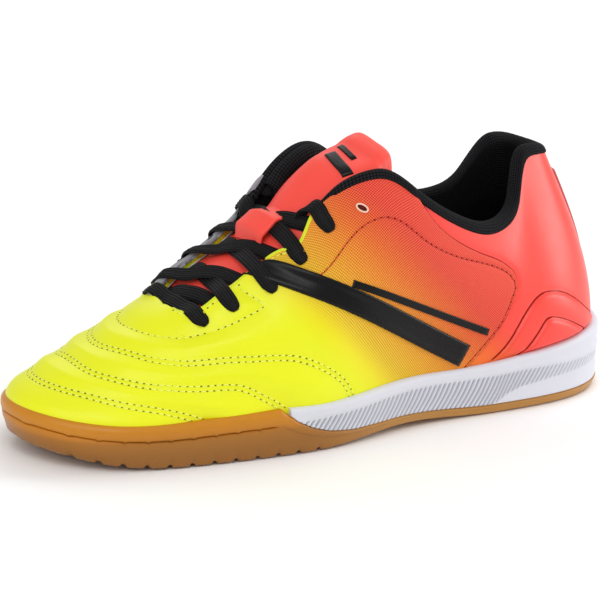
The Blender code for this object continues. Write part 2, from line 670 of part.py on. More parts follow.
def build_tongue():
    rows = [tongue_row(*r) for r in TONGUE_ROWS]
    top = rows[0]
    ends = []
    for du, dz, shrink in TONGUE_TOP:
        r = top.copy()
        c = r[:, 1].mean()
        r[:, 1] = c + (r[:, 1] - c) * shrink
        r[:, 0] += du
        r[:, 2] += dz
        ends.append(r)
    rows = ends + rows
    rows = np.array(rows)
    # thickness along the row normals
    du = np.gradient(rows, axis=0)
    dv = np.gradient(rows, axis=1)
    n = np.cross(du, dv)
    n *= np.sign(n[..., 2:3])
    n /= np.linalg.norm(n, axis=-1, keepdims=True)
    th = np.full(rows.shape[:2], TONGUE_THICK)
    th[:, [0, -1]] = 1.6
    th[:, [1, -2]] = 2.8
    th[-1] *= 0.6
    low = rows - th[..., None] * n
    m = Mesh()
    a, b = m.grid(rows), m.grid(low)
    m.lattice(a)
    m.lattice(b)
    for e1, e2 in ((a[0], b[0]), (a[-1], b[-1]), (a[:, 0], b[:, 0]), (a[:, -1], b[:, -1])):
        m.quads(e1, e2)
    return make_object("tongue", m, (0.80, 0.10, 0.06), 0.5)


# --------------------------------------------------------------------- laces
EYELETS = (  # v on the outer side, v on the inner side
    (0.715, 0.715), (0.668, 0.668), (0.626, 0.626), (0.584, 0.584), (0.546, 0.546),
)
EYELET_DOWN = 0.86      # t of the row of eyelets


def lace_path(a, b):
    """From the eyelet row on the outer side (station a) over the tongue to station b inside."""
    pts = []
    for side, v in ((-1.0, a), (1.0, b)):
        w = np.full(3, side * v)
        t = np.array([EYELET_DOWN + 0.02, 0.95, 1.0])
        p = surface(w, t) + (0.7 + LACE_THICK / 2 + np.array([0.0, 0.1, 0.5]))[:, None] * surface_normal(w, t)
        pts.append(p if side < 0 else p[::-1])
    p0, p1 = pts[0][-1], pts[1][0]
    mid = []
    for x in (0.25, 0.5, 0.75):
        mid.append(p0 + (p1 - p0) * x + np.array([0.25, 0, 1.0]) * 5.2 * math.sin(math.pi * x) ** 0.8)
    return np.vstack([pts[0], mid, pts[1]])


def ribbon(name, path):
    m = Mesh()
    d = np.gradient(path, axis=0)
    d /= np.linalg.norm(d, axis=1)[:, None]
    up = np.array([0.45, 0.0, 1.0])
    side = np.cross(d, up)
    side /= np.linalg.norm(side, axis=1)[:, None]
    nrm = np.cross(side, d)
    loops = []
    for p, s, n in zip(path, side, nrm):
        hw, ht = LACE_WIDTH / 2, LACE_THICK / 2
        loops.append([p - s * hw, p - s * (hw - 0.7) + n * ht, p + s * (hw - 0.7) + n * ht,
                      p + s * hw, p + s * (hw - 0.7) - n * ht, p - s * (hw - 0.7) - n * ht])
    g_all = m.grid(loops)
    for a, b in zip(g_all[:-1], g_all[1:]):
        m.quads(np.r_[a, a[0]], np.r_[b, b[0]])
    m.f.append([int(i) for i in g_all[0]])
    m.f.append([int(i) for i in g_all[-1]])
    return make_object(name, m, (0.015, 0.015, 0.015), 0.7)


def build_laces():
    e = [(a, b) for a, b in EYELETS]
    runs = [(e[0][0], e[0][1])]
    for k in range(4):
        runs.append((e[k][0], e[k + 1][1]))
        runs.append((e[k + 1][0], e[k][1]))
    first = ribbon("laces", lace_path(*runs[0]))
    for k, r in enumerate(runs[1:]):
        tool = ribbon("lace_run_%d" % k, lace_path(*r) + np.array([0, 0, 0.011 * (k + 1)]))
        tool.hide_render = True
        tool.display_type = "WIRE"
        mod = first.modifiers.new("join_%d" % k, "BOOLEAN")
        mod.operation = "UNION"
        mod.solver = "EXACT"
        mod.object = tool
    return first


# ---------------------------------------------------------------- heel strip
def build_heel_strip():
    w = np.linspace(-0.034, 0.034, 7)
    u0 = outline(np.array([0.0]))[0, 0]
    z0 = float(ground(u0) + side_height(u0)) + 1.2
    m = Mesh()
    rows_o, rows_i = [], []
    for f in np.linspace(0, 1, 10):
        z = z0 + (80.0 - z0) * f
        t = t_at_height(w, z, 400)
        p, n = surface(w, t), surface_normal(w, t)
        edge = np.array([0.55, 0.9, 1, 1, 1, 0.9, 0.55])
        rows_i.append(p + GAP * n)
        rows_o.append(p + (GAP + STRIP_THICK * edge)[:, None] * n)
    a, b = m.grid(rows_o), m.grid(rows_i)
    m.lattice(a)
    m.lattice(b)
    for e1, e2 in ((a[0], b[0]), (a[-1], b[-1]), (a[:, 0], b[:, 0]), (a[:, -1], b[:, -1])):
        m.quads(e1, e2)
    return make_object("heel_strip", m, (0.80, 0.10, 0.06), 0.4)


shoe = bpy.data.objects.new("shoe", None)
bpy.context.scene.collection.objects.link(shoe)
for piece in (build_outsole(), build_midsole(), build_upper(), build_insole(), build_tongue(),
              build_laces(), build_heel_strip()):
    piece.parent = shoe
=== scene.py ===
"""Looks of the indoor soccer shoe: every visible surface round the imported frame.

Shoe millimetres are used throughout: u forward from the back of the heel, y
negative on the outer side, z up; shoe_to_frame() turns them into the frame.
"""
import math

import bpy
import numpy as np
from mathutils import Matrix, Vector
from mathutils.kdtree import KDTree


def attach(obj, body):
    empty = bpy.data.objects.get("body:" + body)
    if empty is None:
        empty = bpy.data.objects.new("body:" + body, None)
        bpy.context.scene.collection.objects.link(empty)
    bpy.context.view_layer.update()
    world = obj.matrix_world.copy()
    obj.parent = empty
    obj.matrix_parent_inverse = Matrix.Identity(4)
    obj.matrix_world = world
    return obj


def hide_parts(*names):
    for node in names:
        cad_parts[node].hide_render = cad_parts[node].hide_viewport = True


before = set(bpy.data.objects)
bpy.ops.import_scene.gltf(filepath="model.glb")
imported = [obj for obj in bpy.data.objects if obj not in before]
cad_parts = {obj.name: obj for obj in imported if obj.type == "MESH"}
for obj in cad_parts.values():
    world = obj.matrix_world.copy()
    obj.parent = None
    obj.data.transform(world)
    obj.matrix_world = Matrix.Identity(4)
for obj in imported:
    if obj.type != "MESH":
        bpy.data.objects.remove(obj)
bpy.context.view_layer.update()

MM = 0.001
# ---------------------------------------------------------------- sizes (mm)
# u runs forward from the back of the heel, y is negative on the outer side
# of the foot, z is up from the floor.
SHIFT_Y = 3.3            # moves the middle of the ball to the middle of the box
HALF_LENGTH = 118.5

ARCH_LIFT = 2.2
ARCH_FROM, ARCH_TO = 60.0, 142.0
TOE_SPRING = 5.2
SPRING_FROM = 188.0
HEEL_ROLL = 1.2
HEEL_ROLL_TO = 12.0

CUP_WALL = 3.9           # outline of the sole to the foot of the upper
FLOOR_FORE, FLOOR_HEEL = 5.6, 10.2

# widest outline of the sole, heel to toe
OUTER_OUTLINE = (  # u, y
    (0.0, 0.0), (3.0, -16.0), (16.0, -28.6), (38.0, -33.8), (70.0, -33.0),
    (100.0, -34.0), (130.0, -38.3), (155.0, -37.4), (178.0, -34.2),
    (199.0, -30.0), (219.8, -22.2), (232.2, -9.0),
)
TOE_POINT = (237.0, 8.0)
INNER_OUTLINE = (  # u, y, toe to heel
    (234.0, 21.2), (223.8, 32.2), (205.0, 41.0), (178.0, 45.0), (150.0, 42.5),
    (120.0, 34.5), (95.0, 28.5), (70.0, 27.2), (38.0, 29.0), (16.0, 25.4), (3.0, 14.0),
)
# height of the sole's side above its own underside
SIDE_HEIGHT = (  # u, height
    (0.0, 24.6), (10.0, 23.8), (38.0, 21.4), (70.0, 18.6), (100.0, 17.0),
    (130.0, 16.8), (155.0, 17.2), (200.0, 15.6), (238.0, 14.2),
)
# the line that the half sections run up to: collar from the heel, peak at the
# top of the lacing, then over the throat to the middle of the vamp
TOP_OUTER = (  # v, u, y, z
    (0.00, 23.4, 0.0, 88.2), (0.05, 25.8, -7.4, 88.8), (0.10, 32.8, -11.2, 90.2),
    (0.125, 37.6, -12.4, 89.6), (0.15, 40.8, -14.4, 85.8), (0.175, 43.2, -16.9, 80.2), (0.20, 45.6, -19.4, 74.6),
    (0.225, 49.0, -21.6, 70.8), (0.25, 53.4, -23.6, 68.8), (0.30, 64.4, -26.6, 68.2), (0.35, 77.0, -28.2, 73.0),
    (0.40, 88.6, -28.6, 79.8),
    (0.44, 98.0, -27.4, 87.0), (0.475, 107.0, -24.6, 93.0), (0.505, 115.5, -21.8, 92.6),
    (0.53, 123.2, -19.2, 88.8), (0.56, 130.8, -16.6, 81.0), (0.59, 138.2, -13.9, 72.6),
    (0.62, 145.8, -11.0, 66.6), (0.65, 153.6, -7.6, 62.4), (0.68, 161.8, -3.8, 58.2),
    (0.70, 167.8, -1.0, 54.6), (0.72, 173.8, 1.6, 50.6), (0.74, 180.0, 3.5, 46.6),
)
TOP_INNER = (  # v, u, y, z
    (0.05, 25.8, 7.4, 88.8), (0.10, 32.8, 11.2, 90.2),
    (0.125, 37.6, 12.4, 89.6), (0.15, 40.8, 14.4, 85.8), (0.175, 43.2, 16.9, 80.2), (0.20, 45.6, 19.4, 74.6),
    (0.225, 49.0, 21.4, 70.8), (0.25, 53.4, 23.0, 68.8), (0.30, 64.4, 25.4, 68.4), (0.35, 77.0, 27.2, 73.2),
    (0.40, 88.6, 27.8, 79.8),
    (0.44, 98.0, 27.6, 86.6), (0.475, 106.6, 25.8, 91.6), (0.505, 115.0, 24.2, 91.0),
    (0.53, 122.8, 22.8, 86.8), (0.56, 130.6, 21.6, 79.4), (0.59, 138.2, 20.0, 71.8),
    (0.62, 145.8, 17.6, 66.2), (0.65, 153.6, 14.4, 62.2), (0.68, 161.8, 10.8, 58.2),
    (0.70, 167.8, 8.0, 54.6), (0.72, 173.8, 5.4, 50.6), (0.74, 180.0, 3.5, 46.6),
)
# edge of the throat's opening on each side
THROAT = (  # v, y_outer, y_inner
    (0.56, -16.6, 21.6), (0.59, -14.4, 20.6), (0.62, -12.9, 19.6), (0.65, -12.0, 18.8),
    (0.68, -11.4, 18.2), (0.70, -10.8, 17.4), (0.715, -9.6, 16.0), (0.728, -6.2, 12.6),
    (0.735, -2.2, 8.8), (0.74, 3.5, 3.5),
)
V_RIDGE = 0.74
RIDGE = (  # v, u, y, z
    (0.74, 180.0, 3.5, 46.6), (0.78, 188.8, 4.2, 43.9), (0.82, 196.8, 5.0, 41.0),
    (0.87, 204.6, 6.0, 37.5), (0.93, 210.4, 7.0, 34.9), (1.00, 214.0, 7.8, 33.2),
)
INNER_FULLER = 0.22      # the vamp is fuller on the inner side of the foot
# the two handles that bend each half section
SECTION = (  # v, wall_up, wall_out, top_out, top_down
    (0.00, 32.0, 5.2, 12.5, 25.0), (0.10, 30.0, 5.0, 9.0, 24.0), (0.20, 25.0, 4.6, 5.0, 20.0),
    (0.30, 20.0, 4.6, 2.6, 17.0), (0.40, 24.0, 4.2, 3.6, 22.0), (0.47, 30.0, 3.4, 6.0, 24.0),
    (0.53, 29.0, 3.2, 9.0, 19.0), (0.59, 25.0, 3.4, 11.0, 11.0), (0.63, 22.0, 3.4, 12.6, 6.6),
    (0.68, 19.6, 3.6, 15.0, 2.0), (0.74, 18.2, 3.8, 17.0, 0.0), (0.82, 17.5, 3.8, 16.5, 0.0),
    (0.90, 16.5, 4.0, 15.0, 0.0), (1.00, 15.5, 4.2, 13.5, 0.0),
)


def natural_spline(xs, ys):
    """Cubic spline through the rows, as a function of x."""
    xs = np.asarray(xs, float)
    ys = np.asarray(ys, float)
    flat = ys.ndim == 1
    if flat:
        ys = ys[:, None]
    n = len(xs)
    h = np.diff(xs)
    a = np.zeros((n, n))
    b = np.zeros((n, ys.shape[1]))
    a[0, 0] = a[-1, -1] = 1.0
    for i in range(1, n - 1):
        a[i, i - 1:i + 2] = h[i - 1], 2 * (h[i - 1] + h[i]), h[i]
        b[i] = 6 * ((ys[i + 1] - ys[i]) / h[i] - (ys[i] - ys[i - 1]) / h[i - 1])
    m = np.linalg.solve(a, b)

    def f(x):
        x = np.asarray(x, float)
        q = np.clip(x, xs[0], xs[-1]).ravel()
        k = np.clip(np.searchsorted(xs, q) - 1, 0, n - 2)
        l, r, hk = (xs[k + 1] - q)[:, None], (q - xs[k])[:, None], h[k][:, None]
        out = (m[k] * l ** 3 + m[k + 1] * r ** 3) / (6 * hk)
        out = out + (ys[k] / hk - m[k] * hk / 6) * l + (ys[k + 1] / hk - m[k + 1] * hk / 6) * r
        out = out.reshape(x.shape + (ys.shape[1],))
        return out[..., 0] if flat else out
    return f


def closed_spline(points, wrap=4):
    """Smooth closed curve through points; returns f(length) and the knots."""
    p = np.asarray(points, float)
    ext = np.vstack([p[-wrap:], p, p[:wrap + 1]])
    d = np.r_[0.0, np.cumsum(np.hypot(*np.diff(ext, axis=0).T))]
    d = d - d[wrap]
    f = natural_spline(d, ext)
    return f, d[wrap:wrap + len(p) + 1]


LOOP = list(OUTER_OUTLINE) + [TOE_POINT] + list(INNER_OUTLINE)
_loop, _knots = closed_spline(LOOP)
_dense = np.linspace(0.0, _knots[-1], 6001)
_pts = _loop(_dense)
_len = np.r_[0.0, np.cumsum(np.hypot(*np.diff(_pts, axis=0).T))]
_toe = np.interp(_knots[len(OUTER_OUTLINE)], _dense, _len)
_tan = np.gradient(_pts, _len, axis=0)
_tan[0] = _tan[-1] = (_tan[1] + _tan[-2]) / 2
_tan /= np.linalg.norm(_tan, axis=1)[:, None]


def loop_length(w):
    """w in -1..1 (outer toe .. heel .. inner toe) to the length round the loop."""
    w = np.asarray(w, float)
    return np.where(w <= 0, -w * _toe, _len[-1] - w * (_len[-1] - _toe))


def outline(w):
    s = loop_length(w)
    return np.stack([np.interp(s, _len, _pts[:, i]) for i in (0, 1)], -1)


def outward(w):
    s = loop_length(w)
    t = np.stack([np.interp(s, _len, _tan[:, i]) for i in (0, 1)], -1)
    n = np.stack([t[..., 1], -t[..., 0]], -1)
    return n / np.linalg.norm(n, axis=-1, keepdims=True)


def smooth(x):
    x = np.clip(x, 0.0, 1.0)
    return x * x * (3 - 2 * x)


def ground(u):
    """Underside of the sole: flat at the heel and the ball, lifted between and at the toe."""
    u = np.asarray(u, float)
    x = np.clip((u - ARCH_FROM) / (ARCH_TO - ARCH_FROM), 0, 1)
    arch = ARCH_LIFT * np.sin(np.pi * x) ** 2
    toe = TOE_SPRING * np.clip((u - SPRING_FROM) / (238.0 - SPRING_FROM), 0, 1) ** 1.9
    heel = HEEL_ROLL * np.clip((HEEL_ROLL_TO - u) / HEEL_ROLL_TO, 0, 1) ** 2
    return arch + toe + heel


def floor_rise(u):
    return FLOOR_HEEL + (FLOOR_FORE - FLOOR_HEEL) * smooth((np.asarray(u, float) - 95.0) / 60.0)


_side = natural_spline([r[0] for r in SIDE_HEIGHT], [r[1] for r in SIDE_HEIGHT])


def side_height(u):
    return _side(u)


_top_rows = [(-r[0],) + r[1:] for r in TOP_OUTER[::-1]] + list(TOP_INNER)
_top = natural_spline([r[0] for r in _top_rows], [r[1:] for r in _top_rows])
_ridge = natural_spline([r[0] for r in RIDGE], [r[1:] for r in RIDGE])
_sec = natural_spline([r[0] for r in SECTION], [r[1:] for r in SECTION])


def top_line(w):
    w = np.asarray(w, float)
    v = np.abs(w)
    return np.where((v < V_RIDGE)[..., None], _top(np.clip(w, -V_RIDGE, V_RIDGE)), _ridge(np.clip(v, V_RIDGE, 1)))


def feather(w):
    p = outline(w) - CUP_WALL * outward(w)
    z = ground(p[..., 0]) + floor_rise(p[..., 0])
    return np.concatenate([p, z[..., None]], -1)


def last_surface(w, t):
    """The closed form: w round the foot, t from the sole (0) to the top line (1)."""
    w, t = np.broadcast_arrays(np.asarray(w, float), np.asarray(t, float))
    v = np.abs(w)
    f, e, n = feather(w), top_line(w), outward(w)
    h = _sec(v)
    full = np.where(w > 0, smooth((v - 0.60) / 0.10) * smooth((0.88 - v) / 0.12), 0.0)
    h = h * (1.0 + full[..., None] * np.array([INNER_FULLER, 0.0, INNER_FULLER, 0.0]))
    up = np.array([0.0, 0.0, 1.0])
    n3 = np.concatenate([n, np.zeros_like(n[..., :1])], -1)
    p1 = f + h[..., 0:1] * up + h[..., 1:2] * n3
    dv = 1e-3
    r1, r0 = _ridge(np.clip(v + dv, V_RIDGE, 1)), _ridge(np.clip(v - dv, V_RIDGE, 1))
    slope = (r1[..., 2] - r0[..., 2]) / np.maximum(r1[..., 0] - r0[..., 0], 1e-6)
    at_edge = V_RIDGE + dv
    slope = np.where(v < at_edge, (_ridge(at_edge)[2] - _ridge(V_RIDGE)[2]) / (_ridge(at_edge)[0] - _ridge(V_RIDGE)[0]), slope)
    fall = smooth((v - V_RIDGE + 0.12) / 0.12) * slope * h[..., 2] * n[..., 0]
    p2 = e + h[..., 2:3] * n3 - h[..., 3:4] * up + fall[..., None] * up
    t = t[..., None]
    return (1 - t) ** 3 * f + 3 * (1 - t) ** 2 * t * p1 + 3 * (1 - t) * t ** 2 * p2 + t ** 3 * e


def _trim_rows():
    """t on the closed form where each throat edge lies, for a row of stations."""
    vs = np.linspace(THROAT[0][0], V_RIDGE, 121)
    ts = np.linspace(0.45, 1.0, 400)
    out = []
    for side, col in ((-1.0, 1), (1.0, 2)):
        want = natural_spline([r[0] for r in THROAT], [r[col] for r in THROAT])(vs)
        ys = last_surface(side * vs[:, None], ts[None, :])[..., 1]
        k = [np.interp(-side * y, -side * row, ts) for y, row in zip(want, ys)]
        out.append(np.array(k))
    return vs, out[0], out[1]


_trim_v, _trim_o, _trim_i = _trim_rows()


def trim(w):
    w = np.asarray(w, float)
    v = np.abs(w)
    k = np.where(w < 0, np.interp(v, _trim_v, _trim_o), np.interp(v, _trim_v, _trim_i))
    return np.where((v < _trim_v[0]) | (v >= V_RIDGE), 1.0, k)


def upper_surface(w, t):
    """Outside of the upper: t from the sole (0) to the edge of the opening or the ridge (1)."""
    w, t = np.broadcast_arrays(np.asarray(w, float), np.asarray(t, float))
    return last_surface(w, t * trim(w))


def top_edge(w):
    return upper_surface(w, 1.0)


# ------------------------------------------------------------- more sizes (mm)
GAP = 0.35               # between pieces that are glued or rest on each other
CUP_GAP = 0.6           # between the cup's wall and the upper
WALL = 2.0               # upper: cloth, lining and foam
COLLAR_PAD = 5.2         # padded collar
INSOLE_THICK = 3.2
LASTING = 10.0           # margin of the upper turned in under the insole
FLANGE = 1.6
TONGUE_THICK = 3.6
TONGUE_GAP = 0.7
LACE_WIDTH, LACE_THICK = 5.4, 1.3
GROOVE_PITCH, GROOVE_WIDE, GROOVE_DEEP = 8.0, 2.4, 1.2
STRIP_THICK = 1.1
PLATE_FRONT = 130.0      # front end of the midsole's plate

# the rubber's height at the side: full cup at the ball and toe, thin to the heel
RUBBER_HEIGHT = (  # u, height
    (0.0, 3.6), (60.0, 3.6), (95.0, 3.6), (112.0, 4.0), (125.0, 5.0), (136.0, 7.0),
    (143.0, 9.2), (149.0, 12.2), (155.0, 17.0),
)


def rubber_height(u):
    h = np.interp(u, [r[0] for r in RUBBER_HEIGHT], [r[1] for r in RUBBER_HEIGHT])
    return np.where(np.asarray(u) >= 155.0, side_height(u), np.minimum(h, side_height(u)))


def wrap(w):
    return (np.asarray(w, float) + 1.0) % 2.0 - 1.0


def surface(w, t):
    return upper_surface(wrap(w), t)


def surface_normal(w, t):
    """Unit normal of the upper's outside, pointing out."""
    w, t = np.broadcast_arrays(np.asarray(w, float), np.asarray(t, float))
    e = 2e-3
    tw = np.minimum(t, 0.86)
    a = surface(w + e, tw) - surface(w - e, tw)
    hi, lo = np.clip(t + 0.01, 0, 1), np.clip(t - 0.01, 0, 1)
    b = surface(w, hi) - surface(w, lo)
    n = np.cross(b, a)
    n3 = np.concatenate([outward(wrap(w)), np.full(w.shape + (1,), 0.5)], -1)
    n *= np.sign((n * n3).sum(-1, keepdims=True))
    n /= np.linalg.norm(n, axis=-1, keepdims=True)
    both = (t > 0.999) & (np.abs(wrap(w)) > V_RIDGE - 0.03)
    m = n.copy()
    if both.any():
        other = -w
        a2 = surface(other + e, tw) - surface(other - e, tw)
        b2 = surface(other, hi) - surface(other, lo)
        k = np.cross(b2, a2)
        k3 = np.concatenate([outward(wrap(other)), np.full(w.shape + (1,), 0.5)], -1)
        k *= np.sign((k * k3).sum(-1, keepdims=True))
        k /= np.linalg.norm(k, axis=-1, keepdims=True)
        s = n + k
        s /= np.linalg.norm(s, axis=-1, keepdims=True)
        m[both] = s[both]
    return m


def t_at_height(w, z, rows=160):
    """t where the half section at w reaches height z."""
    w = np.atleast_1d(w)
    ts = np.linspace(0, 0.9, rows)
    zz = upper_surface(w[:, None], ts[None, :])[..., 2]
    return np.array([np.interp(zk, zr, ts) for zk, zr in zip(np.broadcast_to(z, w.shape), zz)])


def floor_z(u):
    return ground(u) + floor_rise(u)


def wall_thickness(w, t):
    v = np.abs(w)
    collar = smooth((0.50 - v) / 0.06) * smooth((t - 0.45) / 0.3)
    return WALL + (COLLAR_PAD - WALL) * collar


def inner_surface(w, t):
    return surface(w, t) - wall_thickness(w, t)[..., None] * surface_normal(w, t)


def cup_inner(w, z, gap):
    """Point on the upper's outside at height z, moved out by gap."""
    t = t_at_height(w, z)
    p = upper_surface(w, t)
    p[:, :2] += gap * outward(w)
    p[:, 2] = z
    return p


def side_point(w, inset, z):
    p = outline(w) - np.broadcast_to(inset, w.shape)[:, None] * outward(w)
    return np.concatenate([p, np.asarray(z)[:, None]], -1)


def rubber_floor(u):
    """Top of the rubber inside the cup: under the upper in front, thin under the midsole."""
    x = smooth((u - (PLATE_FRONT + 0.6)) / 3.0)
    return ground(u) + 3.6 + (floor_rise(u) - GAP - 3.6) * x


def groove(u):
    """Depth of the cross grooves of the tread at u."""
    fore = (u > 138.0) & (u < 232.0)
    heel = (u > 12.0) & (u < 62.0)
    x = np.abs((u / GROOVE_PITCH) % 1.0 - 0.5) * GROOVE_PITCH
    return np.where((fore | heel) & (x < GROOVE_WIDE / 2 + 1e-6), GROOVE_DEEP, 0.0)


def v_for_u(u, side):
    vs = np.linspace(0.04, 0.985, 1500)
    us = outline(side * vs)[:, 0]
    return np.interp(u, us, vs)


def tread_stations():
    """Stations that carry the edges of each cross groove."""
    cuts = []
    for k in range(1, 40):
        c = (k + 0.5) * GROOVE_PITCH
        if (12.0 + 2 < c < 60.0) or (140.0 < c < 230.0):
            cuts += [(c - GROOVE_WIDE / 2, 0), (c - GROOVE_WIDE / 2 + 0.35, 1),
                     (c + GROOVE_WIDE / 2 - 0.35, 1), (c + GROOVE_WIDE / 2, 0)]
    plain = [u for u in (2.0, 5.5, 64.0, 70.0, 77.0, 84.0, 91.0, 98.0, 105.0, 112.0, 118.5, 125.0,
                         PLATE_FRONT + 0.5, PLATE_FRONT + 3.8, 137.0, 234.5, 237.0)]
    rows = sorted(cuts + [(u, 0) for u in plain])
    us = np.array([r[0] for r in rows])
    v_o, v_i, deep = v_for_u(us, -1.0), v_for_u(us, 1.0), np.array([float(r[1]) for r in rows])
    ends = np.array([0.012, 0.024, 0.036, 0.05, 0.064, 0.945, 0.957, 0.969, 0.98, 0.99])
    keep = (v_o > 0.07) & (v_o < 0.94) & (v_i > 0.07) & (v_i < 0.94)
    v_o = np.concatenate([ends[:5], v_o[keep], ends[5:]])
    v_i = np.concatenate([ends[:5], v_i[keep], ends[5:]])
    deep = np.concatenate([np.zeros(5), deep[keep], np.zeros(5)]) * GROOVE_DEEP
    return v_o, v_i, deep


TONGUE_ROWS = (  # v, under (t reached beneath the upper), crown, extra gap
    (0.490, 0.86, 5.4, 0.0), (0.52, 0.85, 5.0, 0.0), (0.55, 0.84, 4.6, 0.0), (0.585, 0.83, 4.2, 0.0),
    (0.62, 0.82, 3.8, 0.0), (0.655, 0.80, 3.2, 0.0), (0.685, 0.79, 2.4, 0.1), (0.705, 0.78, 1.4, 0.4),
    (0.7345, 0.77, 0.0, 1.3), (0.770, 0.80, 0.0, 1.5), (0.805, 0.84, 0.0, 1.2),
)
TONGUE_TOP = (  # forward, up, width: rows past the top of the lacing
    (-10.5, 4.4, 0.84), (-7.6, 4.0, 0.89), (-4.0, 2.2, 0.945),
)


def tongue_row(v, under, crown, extra):
    """Points across the tongue's top face at one station of the throat."""
    ridge = v > V_RIDGE
    ts = (under, (under + 1) / 2, 0.94, 0.97, 0.99) if ridge else (under, (under + 1) / 2, 1.0)
    gap = TONGUE_GAP + extra
    pts = []
    for side in (-1.0, 1.0):
        w = np.full(len(ts), side * v)
        t = np.array(ts if side < 0 else ts[::-1])
        pts.append(inner_surface(w, t) - gap * surface_normal(w, t))
    if ridge:
        return np.vstack(pts)
    a, b = pts[0][-1], pts[1][0]
    mid = []
    for x in (0.2, 0.4, 0.6, 0.8):
        lift = crown * math.sin(math.pi * x) ** 0.8
        mid.append(a + (b - a) * x + np.array([0.25, 0.0, 1.0]) * lift)
    return np.vstack([pts[0], mid, pts[1]])


def shoe_to_frame(p):
    p = np.asarray(p, float)
    return np.stack([HALF_LENGTH - p[..., 0], p[..., 1] - SHIFT_Y, p[..., 2]], -1) * MM


# ---------------------------------------------------------------- materials
def linear(rgb):
    """Hex or 0-255 colour to scene-linear."""
    if isinstance(rgb, str):
        rgb = [int(rgb[i:i + 2], 16) for i in (0, 2, 4)]
    c = [v / 255.0 for v in rgb]
    return tuple(x / 12.92 if x <= 0.04045 else ((x + 0.055) / 1.055) ** 2.4 for x in c) + (1.0,)


class Look:
    """A material under construction, with short names for its nodes."""

    def __init__(self, name, colour="808080", roughness=0.5, specular=0.5, coat=0.0, coat_roughness=0.2,
                 sheen=0.0, subsurface=0.0, radius=(1.0, 0.5, 0.2)):
        self.mat = bpy.data.materials.new(name)
        self.mat.use_nodes = True
        self.tree = self.mat.node_tree
        self.bsdf = self.tree.nodes["Principled BSDF"]
        i = self.bsdf.inputs
        i["Base Color"].default_value = linear(colour)
        i["Roughness"].default_value = roughness
        i["Specular IOR Level"].default_value = specular
        i["Coat Weight"].default_value = coat
        i["Coat Roughness"].default_value = coat_roughness
        i["Sheen Weight"].default_value = sheen
        i["Sheen Roughness"].default_value = 0.5
        i["Subsurface Weight"].default_value = subsurface
        i["Subsurface Radius"].default_value = radius
        i["Subsurface Scale"].default_value = 0.002
        self.coord = None

    def node(self, kind, inputs=(), **props):
        n = self.tree.nodes.new(kind)
        for k, v in props.items():
            setattr(n, k, v)
        for k, v in dict(inputs).items():
            self.put(n.inputs[k], v)
        return n

    def put(self, socket, value):
        if isinstance(value, bpy.types.NodeSocket):
            self.tree.links.new(value, socket)
        else:
            socket.default_value = value

    def place(self):
        """Position in the object's own metres."""
        if self.coord is None:
            self.coord = self.node("ShaderNodeTexCoord").outputs["Object"]
        return self.coord

    def uv(self):
        return self.node("ShaderNodeUVMap", uv_map="flat").outputs["UV"]

    def math(self, op, a, b=0.0, c=0.0, clamp=False):
        n = self.node("ShaderNodeMath", operation=op, use_clamp=clamp)
        self.put(n.inputs[0], a)
        self.put(n.inputs[1], b)
        self.put(n.inputs[2], c)
        return n.outputs[0]

    def split(self, vector):
        return self.node("ShaderNodeSeparateXYZ", {0: vector}).outputs

    def noise(self, scale, detail=3.0, rough=0.55, vector=None, stretch=None):
        v = vector or self.place()
        if stretch:
            v = self.node("ShaderNodeMapping", {"Vector": v, "Scale": stretch}).outputs[0]
        return self.node("ShaderNodeTexNoise", {"Vector": v, "Scale": scale, "Detail": detail, "Roughness": rough}).outputs[0]

    def cells(self, scale, feature="DISTANCE_TO_EDGE", vector=None):
        return self.node("ShaderNodeTexVoronoi", {"Vector": vector or self.place(), "Scale": scale}, feature=feature).outputs["Distance"]

    def ramp(self, value, stops, mode="LINEAR"):
        n = self.node("ShaderNodeValToRGB")
        n.color_ramp.interpolation = mode
        e = n.color_ramp.elements
        while len(e) < len(stops):
            e.new(0.5)
        for el, (p, c) in zip(e, stops):
            el.position = p
            el.color = linear(c) if isinstance(c, str) else (c, c, c, 1.0)
        self.put(n.inputs[0], value)
        return n.outputs[0]

    def step(self, value, lo, hi):
        n = self.node("ShaderNodeMapRange", interpolation_type="SMOOTHSTEP")
        self.put(n.inputs["Value"], value)
        n.inputs["From Min"].default_value = lo
        n.inputs["From Max"].default_value = hi
        return n.outputs[0]

    def mix(self, fac, a, b, blend="MIX"):
        n = self.node("ShaderNodeMix", data_type="RGBA", blend_type=blend)
        self.put(n.inputs["Factor"], fac)
        self.put(n.inputs[6], linear(a) if isinstance(a, str) else a)
        self.put(n.inputs[7], linear(b) if isinstance(b, str) else b)
        return n.outputs[2]

    def colour(self, socket):
        self.put(self.bsdf.inputs["Base Color"], socket)
        return self

    def rough(self, socket):
        self.put(self.bsdf.inputs["Roughness"], socket)
        return self

    def bump(self, *layers):
        """layers: (height socket, distance in metres, strength)."""
        last = None
        for height, distance, strength in layers:
            n = self.node("ShaderNodeBump", {"Height": height, "Distance": distance, "Strength": strength})
            if last is not None:
                self.put(n.inputs["Normal"], last)
            last = n.outputs[0]
        self.put(self.bsdf.inputs["Normal"], last)
        return self


def grain(look, strength=0.35, scale=1500.0):
    """Fine leather-like grain with slow unevenness under it."""
    fine = look.cells(scale)
    soft = look.noise(420.0, 3.0)
    look.bump((soft, 0.00025, strength * 0.7), (fine, 0.00012, strength))


def weave_height(look, uv, per_mm=1.25):
    """Plain weave: rounded threads crossing, from the flat map in millimetres."""
    x, y = look.split(uv)[0], look.split(uv)[1]
    k = 2 * math.pi * per_mm * 0.5
    a = look.math("SINE", look.math("MULTIPLY", x, k * 2))
    b = look.math("SINE", look.math("MULTIPLY", y, k * 2))
    return look.math("MULTIPLY_ADD", look.math("MULTIPLY", a, b), 0.5, 0.5)


